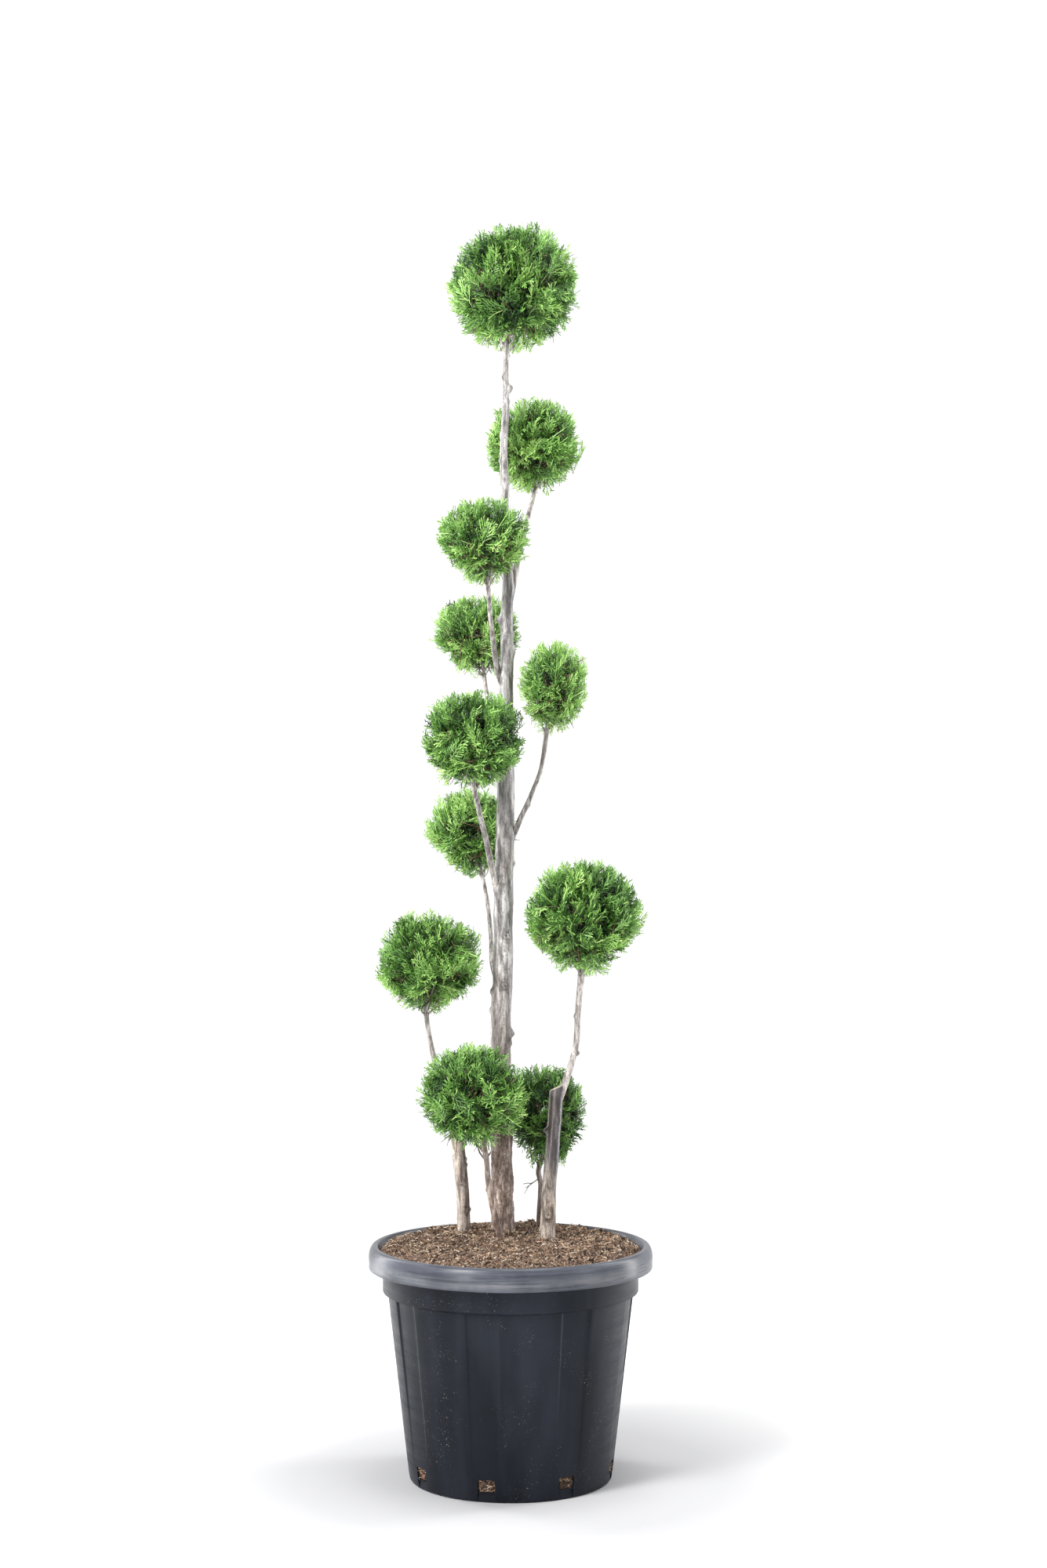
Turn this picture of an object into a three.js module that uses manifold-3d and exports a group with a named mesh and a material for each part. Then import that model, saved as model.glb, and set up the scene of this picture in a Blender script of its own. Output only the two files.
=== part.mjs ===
// A pom-pom thuja in its nursery pot: five stems from one root, eleven clipped balls of foliage.
// Millimetres, +Z up, with the origin under the middle of the pot, on the surface that it stands on.
// The view from -Y, with +X to the right, is the front.
import * as THREE from "three";
import { mergeVertices } from "three/addons/utils/BufferGeometryUtils.js";
import Module from "manifold-3d";

const wasm = await Module();
wasm.setup();

// Driving sizes of the pot and the soil in it
const CLEAR = 0.3; // the gap between neighbouring pieces
const ROUND = 48; // flats round the pot
const POT_HEIGHT = 322;
const RIM_RADIUS = 196.5;
const RIM_SKIRT = 31; // the height of the turned-down lip
const RIM_TOP = [185.5, 189.5]; // the flat top of the lip, from inside to outside
const LIP_THICK = 3;
const BAND_RADIUS = 177;
const BAND_BOTTOM = 257;
const WALL_TOP_RADIUS = 170;
const WALL_BOTTOM_RADIUS = 140;
const FOOT_BEVEL = 4;
const WALL = 3.5;
const FLOOR_TOP = 5;
const FLARE_BOTTOM = 296; // above it the inside widens towards the lip
const FLARE_TOP = 319;
const FLARE_RADIUS = 182.5;
const SLOTS = 8;
const SLOT_TURN = THREE.MathUtils.degToRad(-13); // the first drain slot, left of the front line
const SLOT_WIDTH = 24;
const SLOT_HEIGHT = 17;
const SLOT_BOTTOM = 14;
const SLOT_TAB = 1.5; // how far the wall steps back between a slot and the ground
const FLUTE_DEPTH = 2.4; // the shallow flute over each slot, deepest under the band
const SOIL_EDGE = 315;
const SOIL_MOUND = 17; // how far the middle of the soil stands above its edge
const SOIL_POWER = 5; // the soil is nearly flat, and falls off near the pot's wall
const SOIL_RINGS = 5;
const FOOT_SINK = 3; // how far each stem's flat foot sits in the soil

// The wall leans out evenly from its foot to the band. Its inside widens again under the lip.
const wallRadius = (z) =>
  THREE.MathUtils.lerp(WALL_BOTTOM_RADIUS, WALL_TOP_RADIUS, z / BAND_BOTTOM);
const innerRadius = (z) =>
  z <= FLARE_BOTTOM
    ? wallRadius(z) - WALL
    : THREE.MathUtils.mapLinear(
        z,
        FLARE_BOTTOM,
        FLARE_TOP,
        wallRadius(FLARE_BOTTOM) - WALL,
        FLARE_RADIUS,
      );
const soilTop = (r) =>
  SOIL_EDGE + SOIL_MOUND * (1 - (r / innerRadius(SOIL_EDGE)) ** SOIL_POWER);

// Each limb's route: [x, y, z, radius] where it bends or changes thickness. A bough starts inside the
// limb that it is on. Each knot: [height, degrees round the limb from +X, radius].
const SIDES = 6;
const KNOT_RISE = 0.45; // how far a knot points up, against its way out
const LIMBS = {
  trunk: {
    sides: 10,
    ringsPerSpan: 1,
    route: [
      [-11, 48, 318, 17.5],
      [-11, 48, 345, 15.2],
      [-12, 47, 410, 14.8],
      [-14, 46, 520, 14.6],
      [-14, 45, 630, 14],
      [-11, 44, 707, 13.6],
      [-10, 44, 820, 13.4],
      [-8, 44, 894, 13],
      [-7, 44, 990, 11.5],
      [-7, 43, 1097, 10.2],
      [-5, 42, 1147, 9.4],
      [-6, 42, 1191, 8.5],
      [-4, 42, 1245, 7.8],
      [-7, 42, 1301, 6.6],
      [-7, 41, 1356, 6.3],
      [-10, 40, 1420, 5.7],
      [-7, 38, 1487, 4.9],
      [-7, 37, 1530, 4.4],
      [-6, 36, 1567, 5],
    ],
    knots: [
      [612, 15, 7],
      [668, 185, 5],
      [722, -75, 5],
      [1189, 170, 5],
      [1515, 5, 4],
    ],
  },
  stem_left: {
    sides: 8,
    route: [
      [-65, 50, 318, 10.6],
      [-66, 50, 350, 8.9],
      [-68, 50, 394, 8.9],
      [-72, 50, 432, 9.3],
      [-77, 50, 478, 9.2],
    ],
    knots: [[432, 0, 3]],
  },
  bough_left: {
    on: "stem_left",
    route: [
      [-75, 50, 452, 4.5],
      [-86, 50, 486, 5.2],
      [-97, 51, 525, 4.5],
      [-108, 53, 574, 3.8],
      [-116, 54, 612, 3.5],
      [-119, 55, 636, 3.8],
    ],
  },
  stem_front: {
    route: [
      [-11, -7, 318, 6],
      [-17, -12, 345, 5],
      [-27, -19, 387, 4.3],
      [-31, -25, 416, 3.8],
      [-33, -33, 444, 3.8],
      [-36, -38, 460, 4],
    ],
    knots: [[352, 180, 3]],
  },
  stem_right: {
    sides: 8,
    route: [
      [50, -23, 318, 12],
      [51, -23, 345, 10.2],
      [53, -23, 400, 9.7],
      [58, -22, 460, 9.6],
      [62, -21, 520, 9.6],
      [63, -21, 546, 9.2],
    ],
    knots: [[482, 180, 3]],
  },
  bough_right: {
    on: "stem_right",
    route: [
      [60, -22, 500, 4.2],
      [69, -21, 532, 5.4],
      [80, -20, 562, 4.9],
      [90, -18, 600, 4.2],
      [93, -17, 645, 4],
      [97, -15, 693, 4.8],
    ],
    knots: [[590, 0, 2.5]],
  },
  stem_back: {
    route: [
      [40, 100, 316, 4.8],
      [40, 100, 345, 3.8],
      [42, 100, 391, 3.5],
      [39, 100, 409, 3.5],
      [42, 101, 420, 3.4],
    ],
  },
  bough_low_back: {
    on: "trunk",
    route: [
      [-13, 45, 665, 4],
      [-26, 60, 705, 3.5],
      [-28, 76, 740, 3],
      [-31, 90, 771, 2.9],
      [-35, 104, 801, 2.8],
      [-41, 113, 828, 2.9],
    ],
  },
  bough_low_left: {
    on: "trunk",
    route: [
      [-11, 44, 785, 5],
      [-24, 30, 832, 4.8],
      [-34, 8, 882, 4.1],
      [-41, -8, 911, 3.7],
      [-46, -24, 936, 3.6],
      [-50, -34, 954, 3.8],
    ],
  },
  bough_mid_right: {
    on: "trunk",
    route: [
      [-7, 44, 862, 5],
      [12, 40, 908, 3.9],
      [25, 36, 936, 3.4],
      [33, 35, 956, 3.2],
      [42, 33, 980, 3.2],
      [50, 31, 1033, 3.3],
    ],
    knots: [
      [932, 10, 2],
      [976, 10, 2],
    ],
  },
  bough_mid_back: {
    on: "trunk",
    route: [
      [-7, 44, 985, 5],
      [-16, 58, 1022, 4.4],
      [-26, 76, 1055, 3.6],
      [-34, 96, 1086, 3],
      [-38, 107, 1113, 2.9],
    ],
  },
  bough_upper_left: {
    on: "trunk",
    route: [
      [-6, 43, 1080, 4.6],
      [-18, 36, 1118, 4.6],
      [-24, 22, 1155, 3.8],
      [-28, 2, 1190, 3.3],
      [-31, -20, 1233, 3],
    ],
  },
  bough_upper_right: {
    on: "trunk",
    route: [
      [-5, 42, 1198, 4.6],
      [4, 49, 1246, 5],
      [12, 62, 1287, 4.2],
      [22, 86, 1332, 3.6],
      [33, 107, 1374, 3.4],
    ],
  },
};

// Each clipped ball: its carrier, its middle and its reach along X, Y and Z.
const BALLS = {
  foliage_top: { on: "trunk", at: [5, 36, 1655], reach: [93, 92, 87] },
  foliage_upper_right: { on: "bough_upper_right", at: [32, 112, 1444], reach: [70, 70, 68] },
  foliage_upper_left: { on: "bough_upper_left", at: [-37, -27, 1295], reach: [65, 64, 60] },
  foliage_mid_back: { on: "bough_mid_back", at: [-49, 110, 1172], reach: [64, 62, 58] },
  foliage_mid_right: { on: "bough_mid_right", at: [60, 30, 1096], reach: [50, 56, 66] },
  foliage_mid_left: { on: "bough_low_left", at: [-51, -39, 1021], reach: [73, 72, 70] },
  foliage_low_back: { on: "bough_low_back", at: [-55, 117, 890], reach: [67, 66, 64] },
  foliage_low_right: { on: "bough_right", at: [100, -15, 775], reach: [82, 81, 82] },
  foliage_low_left: { on: "bough_left", at: [-115, 55, 707], reach: [77, 76, 73] },
  foliage_front: { on: "stem_front", at: [-52, -42, 530], reach: [74, 73, 76] },
  foliage_back: { on: "stem_back", at: [50, 104, 489], reach: [58, 60, 72] },
};
const CORE_SHARE = 0.84; // the core's size as a share of the ball's reach
const SPRAY_AREA = 2500; // the area of the ball's outside that one spray stands for
const SPRAY_WIDTH = 0.52; // a spray's width as a share of the ball's reach
const SPRAY_THICK = 4; // in the middle of the blade
const SPRAY_ROOT = 0.55; // where a spray is rooted, as a share of the ball's reach
const SPRAY_LEAN = 0.25; // how far a spray may lean off its own radius
const SPRAY_NOTCH = 0.74; // where the teeth part, as a share of the spray's length
const STEM_REACH = 0.6; // how far a ball's own stem runs in, as a share of the ball's reach
const FORK_AT = 0.12; // where the twigs fork from it
const TWIGS = 4;
const TWIG_END = [0.42, -0.38]; // where a twig ends, out from the middle and up, as shares of the reach
const FREE_AT_STEM = 0.3; // no spray ends nearer to the limb's tip than this share of the reach

const SAW_SLANT = THREE.MathUtils.degToRad(-24);
const SAW_BLOCK = 60;
const GROUND_BLOCK = 80;
const FIRST_SEED = 101;

const LOOKS = {
  pot: { color: 0x24262a, roughness: 0.42 },
  soil: { color: 0x54392a, roughness: 1 },
  bark: { color: 0x8d8177, roughness: 0.85 },
  leaf: { color: 0x3f7d2a, roughness: 0.6 },
};

const vec = (a) => new THREE.Vector3(...a);

// A closed geometry as a solid: only the positions are kept, so that shared corners merge.
function solidOf(geometry) {
  const bare = geometry.clone();
  bare.deleteAttribute("normal");
  bare.deleteAttribute("uv");
  const merged = mergeVertices(bare, 1e-3);
  return new wasm.Manifold(
    new wasm.Mesh({
      numProp: 3,
      vertProperties: merged.attributes.position.array,
      triVerts: new Uint32Array(merged.index.array),
    }),
  );
}

function geometryOf(solid) {
  const mesh = solid.getMesh();
  const positions = new Float32Array(mesh.numVert * 3);
  for (let i = 0; i < mesh.numVert; i++)
    positions.set(mesh.vertProperties.subarray(i * mesh.numProp, i * mesh.numProp + 3), i * 3);
  const geometry = new THREE.BufferGeometry();
  geometry.setAttribute("position", new THREE.BufferAttribute(positions, 3));
  geometry.setIndex(new THREE.BufferAttribute(new Uint32Array(mesh.triVerts), 1));
  const flat = geometry.toNonIndexed();
  flat.computeVertexNormals();
  return flat;
}

const joined = (solids) => solids.reduce((all, next) => all.add(next));

// Seeded random numbers from 0 to 1, so that every build gives the same plant.
function seeded(seed) {
  let state = seed >>> 0;
  return () => {
    state = (state + 0x6d2b79f5) >>> 0;
    let t = Math.imul(state ^ (state >>> 15), state | 1);
    t = (t + Math.imul(t ^ (t >>> 7), t | 61)) ^ t;
    return ((t ^ (t >>> 14)) >>> 0) / 4294967296;
  };
}

// A solid turned about the Z axis from [radius, height] corners, with an edge of its flats on each slot's
// line. The corner with the number flute is drawn in there.
function turned(corners, flats, flute = null) {
  const points = corners.map(([r, z]) => new THREE.Vector2(r, z));
  const geometry = new THREE.LatheGeometry(points, flats);
  const place = geometry.attributes.position;
  for (let i = 0; i <= flats && flute !== null; i += flats / SLOTS) {
    const at = i * corners.length + flute;
    const share = 1 - FLUTE_DEPTH / corners[flute][0];
    place.setXYZ(at, place.getX(at) * share, place.getY(at), place.getZ(at) * share);
  }
  geometry.rotateX(Math.PI / 2);
  geometry.rotateZ(SLOT_TURN);
  return solidOf(geometry);
}

// A box whose middle stands on a slot's line at a radius.
function wallBlock(size, slot, radius, z) {
  const geometry = new THREE.BoxGeometry(...size);
  geometry.translate(0, -radius, z);
  geometry.rotateZ(SLOT_TURN + (slot * 2 * Math.PI) / SLOTS);
  return solidOf(geometry);
}

function potSolid() {
  const skirtInside = RIM_RADIUS - LIP_THICK;
  const [topInside, topOutside] = RIM_TOP;
  const outside = [
    [0, 0],
    [WALL_BOTTOM_RADIUS - FOOT_BEVEL, 0],
    [wallRadius(FOOT_BEVEL), FOOT_BEVEL],
    [WALL_TOP_RADIUS, BAND_BOTTOM],
    [BAND_RADIUS, BAND_BOTTOM + 2],
    [BAND_RADIUS, FLARE_BOTTOM - 3],
    [topInside, FLARE_TOP - 6],
    [skirtInside, FLARE_TOP - 5],
    [skirtInside, POT_HEIGHT - RIM_SKIRT],
    [RIM_RADIUS, POT_HEIGHT - RIM_SKIRT],
    [RIM_RADIUS, POT_HEIGHT - 8],
    [RIM_RADIUS - LIP_THICK, POT_HEIGHT - 2],
    [topOutside, POT_HEIGHT],
  ];
  const inside = [
    [topInside, POT_HEIGHT],
    [FLARE_RADIUS, FLARE_TOP],
    [innerRadius(FLARE_BOTTOM), FLARE_BOTTOM],
    [innerRadius(FLOOR_TOP), FLOOR_TOP],
    [0, FLOOR_TOP],
  ];
  const wallTop = 3; // the corner under the band, which the flutes draw in
  const shell = turned([...outside, ...inside], ROUND, wallTop);
  const slotMiddle = SLOT_BOTTOM + SLOT_HEIGHT / 2;
  const cuts = [];
  for (let i = 0; i < SLOTS; i++) {
    cuts.push(wallBlock([SLOT_WIDTH, 5 * WALL, SLOT_HEIGHT], i, wallRadius(slotMiddle), slotMiddle));
    const tabFace = WALL_BOTTOM_RADIUS - SLOT_TAB;
    cuts.push(wallBlock([SLOT_WIDTH, 2 * WALL, 2 * SLOT_BOTTOM], i, tabFace + WALL, 0));
  }
  return shell.subtract(joined(cuts));
}

function soilSolid(sockets) {
  const surface = [];
  const edge = innerRadius(SOIL_EDGE) - CLEAR;
  for (let i = 0; i <= SOIL_RINGS; i++) {
    const r = edge * (1 - i / SOIL_RINGS);
    surface.push([r, soilTop(r)]);
  }
  const body = [
    [0, FLOOR_TOP + CLEAR],
    [innerRadius(FLOOR_TOP + CLEAR) - CLEAR, FLOOR_TOP + CLEAR],
    [innerRadius(FLARE_BOTTOM) - CLEAR, FLARE_BOTTOM],
  ];
  return turned([...body, ...surface], ROUND / 2).subtract(joined(sockets));
}

const curveOf = ({ route }) =>
  new THREE.CatmullRomCurve3(
    route.map(([x, y, z]) => vec([x, y, z])),
    false,
    "centripetal",
  );

// A limb: a closed cylinder bent along a smooth curve through its route, with a small stub at each knot.
// grow makes every radius larger, for the clearance round the limb.
function limbSolid(limb, grow = 0) {
  const { route, sides = SIDES, ringsPerSpan = 2, knots = [] } = limb;
  const curve = curveOf(limb);
  const spans = route.length - 1;
  const radiusAt = (t) => {
    const i = Math.min(Math.floor(t * spans), spans - 1);
    return THREE.MathUtils.lerp(route[i][3], route[i + 1][3], t * spans - i) + grow;
  };
  const geometry = new THREE.CylinderGeometry(1, 1, 1, sides, spans * ringsPerSpan);
  const place = geometry.attributes.position;
  for (let i = 0; i < place.count; i++) {
    const t = THREE.MathUtils.clamp(place.getY(i) + 0.5, 0, 1);
    const along = curve.getTangent(t);
    const back = new THREE.Vector3().crossVectors(new THREE.Vector3(1, 0, 0), along).normalize();
    const across = new THREE.Vector3().crossVectors(along, back);
    const point = curve
      .getPoint(t)
      .addScaledVector(across, place.getX(i) * radiusAt(t))
      .addScaledVector(back, place.getZ(i) * radiusAt(t));
    place.setXYZ(i, ...point);
  }
  const stubs = knots.map(([height, degrees, size]) => {
    const t = heightToT(curve, height);
    const middle = curve.getPoint(t);
    const turn = THREE.MathUtils.degToRad(degrees);
    const out = vec([Math.cos(turn), Math.sin(turn), KNOT_RISE]).normalize();
    const end = middle.clone().addScaledVector(out, radiusAt(t) + size * 0.8);
    return rod(middle, end, size + grow, size * 0.6 + grow);
  });
  return joined([solidOf(geometry), ...stubs]);
}

// The place on a rising curve that lies at a height, found by halving.
function heightToT(curve, height) {
  let low = 0;
  let high = 1;
  while (high - low > 1e-6) {
    const middle = (low + high) / 2;
    if (curve.getPoint(middle).z < height) low = middle;
    else high = middle;
  }
  return (low + high) / 2;
}

// A straight tapered rod from one point to another.
function rod(from, to, radiusFrom, radiusTo, sides = SIDES) {
  const along = to.clone().sub(from);
  const geometry = new THREE.CylinderGeometry(radiusTo, radiusFrom, along.length(), sides);
  const turn = new THREE.Quaternion().setFromUnitVectors(
    new THREE.Vector3(0, 1, 0),
    along.clone().normalize(),
  );
  const middle = from.clone().add(to).multiplyScalar(0.5);
  geometry.applyMatrix4(new THREE.Matrix4().compose(middle, turn, vec([1, 1, 1])));
  return solidOf(geometry);
}

// Everything under a stem's foot, for the flat cut at the ground.
function groundBlock(x, y, z) {
  const geometry = new THREE.BoxGeometry(GROUND_BLOCK, GROUND_BLOCK, GROUND_BLOCK);
  geometry.translate(x, y, z - GROUND_BLOCK / 2);
  return solidOf(geometry);
}

const standing = Object.entries(LIMBS).filter(([, limb]) => !limb.on);

// A stem cut flat where it stands in the soil, or the socket for it, a little wider and deeper.
function standingSolid(limb, grow = 0) {
  const [x, y] = limb.route[0];
  const foot = soilTop(Math.hypot(x, y)) - FOOT_SINK - grow;
  return limbSolid(limb, grow).subtract(groundBlock(x, y, foot));
}

// The old stem on the right was sawn off at a slant above the bough that took over.
function sawnOff(stem, route) {
  const [x, y, z] = route.at(-1);
  const saw = new THREE.BoxGeometry(SAW_BLOCK, SAW_BLOCK, SAW_BLOCK);
  saw.translate(0, 0, SAW_BLOCK / 2);
  saw.rotateY(SAW_SLANT);
  saw.translate(x, y, z - 5);
  return stem.subtract(solidOf(saw));
}

function limbSolids(grow = 0) {
  const solids = {};
  for (const [name, limb] of standing) solids[name] = standingSolid(limb, grow);
  for (const [name, limb] of Object.entries(LIMBS)) {
    if (limb.on) solids[name] = limbSolid(limb, grow).subtract(limbSolid(LIMBS[limb.on], CLEAR));
  }
  solids.stem_right = sawnOff(solids.stem_right, LIMBS.stem_right.route);
  return solids;
}

// Even directions over a ball, by the golden angle, from straight up to straight down.
function evenDirection(i, count) {
  const z = 1 - (2 * i) / (count - 1);
  const turn = i * Math.PI * (3 - Math.sqrt(5));
  const r = Math.sqrt(1 - z * z);
  return new THREE.Vector3(r * Math.cos(turn), r * Math.sin(turn), z);
}

// A spray of scale leaves as a thin blade with three teeth, thickest in its middle, from root to tip.
function spraySolid(root, tip, width, roll, random) {
  const length = root.distanceTo(tip);
  const side = () => width * (0.4 + 0.2 * random());
  const shoulder = () => length * (0.8 + 0.1 * random());
  const [left, right] = [side(), side()];
  const notch = length * SPRAY_NOTCH;
  const outline = [
    [0, 0],
    [right, shoulder()],
    [right * 0.45, notch],
    [0, length],
    [-left * 0.45, notch],
    [-left, shoulder()],
  ].map(([x, y]) => vec([x, y, 0]));
  const front = vec([0, length * 0.5, SPRAY_THICK / 2]);
  const back = vec([0, length * 0.5, -SPRAY_THICK / 2]);
  const corners = outline.flatMap((corner, i) => {
    const next = outline[(i + 1) % outline.length];
    return [front, corner, next, back, next, corner];
  });
  const geometry = new THREE.BufferGeometry().setFromPoints(corners);
  geometry.rotateY(roll);
  const way = tip.clone().sub(root).normalize();
  const turn = new THREE.Quaternion().setFromUnitVectors(new THREE.Vector3(0, 1, 0), way);
  geometry.applyMatrix4(new THREE.Matrix4().compose(root, turn, vec([1, 1, 1])));
  return solidOf(geometry);
}

// A ball's core: a low round body with an uneven skin.
function coreSolid(middle, reach, random) {
  const geometry = new THREE.IcosahedronGeometry(1, 1);
  geometry.deleteAttribute("normal");
  geometry.deleteAttribute("uv");
  const core = mergeVertices(geometry, 1e-3);
  const place = core.attributes.position;
  for (let i = 0; i < place.count; i++) {
    const share = CORE_SHARE * (0.93 + 0.12 * random());
    const point = new THREE.Vector3().fromBufferAttribute(place, i).multiply(reach);
    place.setXYZ(i, ...point.multiplyScalar(share).add(middle));
  }
  return solidOf(core);
}

// One clipped ball: a stem that grows on from its carrier, twigs that fork from it, a core, and the
// sprays that stand out of the core to the ball's reach. What would touch a limb is skipped.
function ballSolid({ on, at, reach }, keepClear, seed) {
  const random = seeded(seed);
  const middle = vec(at);
  const size = vec(reach);
  const mean = (size.x + size.y + size.z) / 3;
  const curve = curveOf(LIMBS[on]);
  const limbTip = curve.getPoint(1);
  const upward = curve.getTangent(1);
  const radius = LIMBS[on].route.at(-1)[3];
  const start = limbTip.clone().addScaledVector(upward, CLEAR);
  const stemEnd = start.clone().addScaledVector(upward, mean * STEM_REACH);
  const fork = start.clone().addScaledVector(upward, mean * FORK_AT);
  const pieces = [coreSolid(middle, size, random), rod(start, stemEnd, radius, radius * 0.6)];
  for (let i = 0; i < TWIGS; i++) {
    const turn = (i + random()) * ((2 * Math.PI) / TWIGS);
    const [out, up] = TWIG_END;
    const end = vec([Math.cos(turn) * out, Math.sin(turn) * out, up]).multiply(size);
    pieces.push(rod(fork, end.add(middle), radius * 0.5, radius * 0.35, 3));
  }
  const area = 4 * Math.PI * mean * mean;
  const count = Math.round(area / SPRAY_AREA);
  for (let i = 0; i < count; i++) {
    const way = evenDirection(i, count);
    const lean = vec([random() - 0.5, random() - 0.5, random() - 0.5]).multiplyScalar(SPRAY_LEAN);
    const tip = middle.clone().add(way.clone().multiply(size));
    const root = middle.clone().add(way.clone().add(lean).multiply(size).multiplyScalar(SPRAY_ROOT));
    const spray = spraySolid(root, tip, mean * SPRAY_WIDTH, random() * Math.PI, random);
    const touches = keepClear.some((limb) => !limb.intersect(spray).isEmpty());
    const atStem = tip.distanceTo(limbTip) < mean * FREE_AT_STEM;
    if (!touches && !atStem) pieces.push(spray);
  }
  return joined(pieces);
}

const plant = new THREE.Group();
plant.name = "pom_pom_thuja";

function place(name, solid, look) {
  const mesh = new THREE.Mesh(geometryOf(solid), new THREE.MeshStandardMaterial(look));
  mesh.name = name;
  plant.add(mesh);
}

const sockets = standing.map(([, limb]) => standingSolid(limb, CLEAR));
place("pot", potSolid(), LOOKS.pot);
place("soil", soilSolid(sockets), LOOKS.soil);
for (const [name, solid] of Object.entries(limbSolids())) place(name, solid, LOOKS.bark);
const keepClear = Object.values(limbSolids(CLEAR));
Object.entries(BALLS).forEach(([name, ball], i) => {
  place(name, ballSolid(ball, keepClear, FIRST_SEED + i), LOOKS.leaf);
});

export default plant;
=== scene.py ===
# Looks for the pom-pom thuja in its nursery pot: bark, twigs, sprays of scale leaves, soil and plastic.
# Metres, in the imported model's frame. Sizes that repeat the part's source are in millimetres, times MM.
import math

import bmesh
import bpy
import numpy as np
from mathutils import Euler, Matrix, Vector


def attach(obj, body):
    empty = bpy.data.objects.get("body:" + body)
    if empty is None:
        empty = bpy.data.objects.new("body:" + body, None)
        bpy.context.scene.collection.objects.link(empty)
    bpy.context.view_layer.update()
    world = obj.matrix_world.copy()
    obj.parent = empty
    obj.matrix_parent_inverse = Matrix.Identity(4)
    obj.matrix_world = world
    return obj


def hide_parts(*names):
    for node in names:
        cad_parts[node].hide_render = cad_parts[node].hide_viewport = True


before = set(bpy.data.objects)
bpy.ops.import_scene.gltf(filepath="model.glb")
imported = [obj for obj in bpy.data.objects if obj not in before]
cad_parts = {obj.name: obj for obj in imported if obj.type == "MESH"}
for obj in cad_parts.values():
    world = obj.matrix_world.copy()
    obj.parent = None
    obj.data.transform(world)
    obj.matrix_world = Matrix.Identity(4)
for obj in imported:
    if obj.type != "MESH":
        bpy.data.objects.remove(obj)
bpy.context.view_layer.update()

MM = 0.001
BODY = "root"

# The photograph's view: a level camera that the rule beside the plant fixes
CAMERA_AT = (0.0178, -3.71, 0.96)
FOCAL_PIXELS = 3413.0
LONG_SIDE_PIXELS = 2000.0
SENSOR = 36.0

# Each limb's route: [x, y, z, radius] where it bends or changes thickness, in millimetres
ROUTES = {
    "trunk": [
        [-11, 48, 318, 17.5], [-11, 48, 345, 15.2], [-12, 47, 410, 14.8], [-14, 46, 520, 14.6],
        [-14, 45, 630, 14], [-11, 44, 707, 13.6], [-10, 44, 820, 13.4], [-8, 44, 894, 13],
        [-7, 44, 990, 11.5], [-7, 43, 1097, 10.2], [-5, 42, 1147, 9.4], [-6, 42, 1191, 8.5],
        [-4, 42, 1245, 7.8], [-7, 42, 1301, 6.6], [-7, 41, 1356, 6.3], [-10, 40, 1420, 5.7],
        [-7, 38, 1487, 4.9], [-7, 37, 1530, 4.4], [-6, 36, 1567, 5],
    ],
    "stem_left": [
        [-65, 50, 318, 10.6], [-66, 50, 350, 8.9], [-68, 50, 394, 8.9], [-72, 50, 432, 9.3],
        [-77, 50, 478, 9.2],
    ],
    "bough_left": [
        [-75, 50, 452, 4.5], [-86, 50, 486, 5.2], [-97, 51, 525, 4.5], [-108, 53, 574, 3.8],
        [-116, 54, 612, 3.5], [-119, 55, 636, 3.8],
    ],
    "stem_front": [
        [-11, -7, 318, 6], [-17, -12, 345, 5], [-27, -19, 387, 4.3], [-31, -25, 416, 3.8],
        [-33, -33, 444, 3.8], [-36, -38, 460, 4],
    ],
    "stem_right": [
        [50, -23, 318, 12], [51, -23, 345, 10.2], [53, -23, 400, 9.7], [58, -22, 460, 9.6],
        [62, -21, 520, 9.6], [63, -21, 546, 9.2],
    ],
    "bough_right": [
        [60, -22, 500, 4.2], [69, -21, 532, 5.4], [80, -20, 562, 4.9], [90, -18, 600, 4.2],
        [93, -17, 645, 4], [97, -15, 693, 4.8],
    ],
    "stem_back": [
        [40, 100, 316, 4.8], [40, 100, 345, 3.8], [42, 100, 391, 3.5], [39, 100, 409, 3.5],
        [42, 101, 420, 3.4],
    ],
    "bough_low_back": [
        [-13, 45, 665, 4], [-26, 60, 705, 3.5], [-28, 76, 740, 3], [-31, 90, 771, 2.9],
        [-35, 104, 801, 2.8], [-41, 113, 828, 2.9],
    ],
    "bough_low_left": [
        [-11, 44, 785, 5], [-24, 30, 832, 4.8], [-34, 8, 882, 4.1], [-41, -8, 911, 3.7],
        [-46, -24, 936, 3.6], [-50, -34, 954, 3.8],
    ],
    "bough_mid_right": [
        [-7, 44, 862, 5], [12, 40, 908, 3.9], [25, 36, 936, 3.4], [33, 35, 956, 3.2], [42, 33, 980, 3.2],
        [50, 31, 1033, 3.3],
    ],
    "bough_mid_back": [
        [-7, 44, 985, 5], [-16, 58, 1022, 4.4], [-26, 76, 1055, 3.6], [-34, 96, 1086, 3],
        [-38, 107, 1113, 2.9],
    ],
    "bough_upper_left": [
        [-6, 43, 1080, 4.6], [-18, 36, 1118, 4.6], [-24, 22, 1155, 3.8], [-28, 2, 1190, 3.3],
        [-31, -20, 1233, 3],
    ],
    "bough_upper_right": [
        [-5, 42, 1198, 4.6], [4, 49, 1246, 5], [12, 62, 1287, 4.2], [22, 86, 1332, 3.6],
        [33, 107, 1374, 3.4],
    ],
}
# The limbs that grow on a limb
BRANCHES = {
    "trunk": [
        "bough_low_back", "bough_low_left", "bough_mid_right", "bough_mid_back", "bough_upper_left",
        "bough_upper_right",
    ],
    "stem_left": ["bough_left"],
    "stem_right": ["bough_right"],
}

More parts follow.
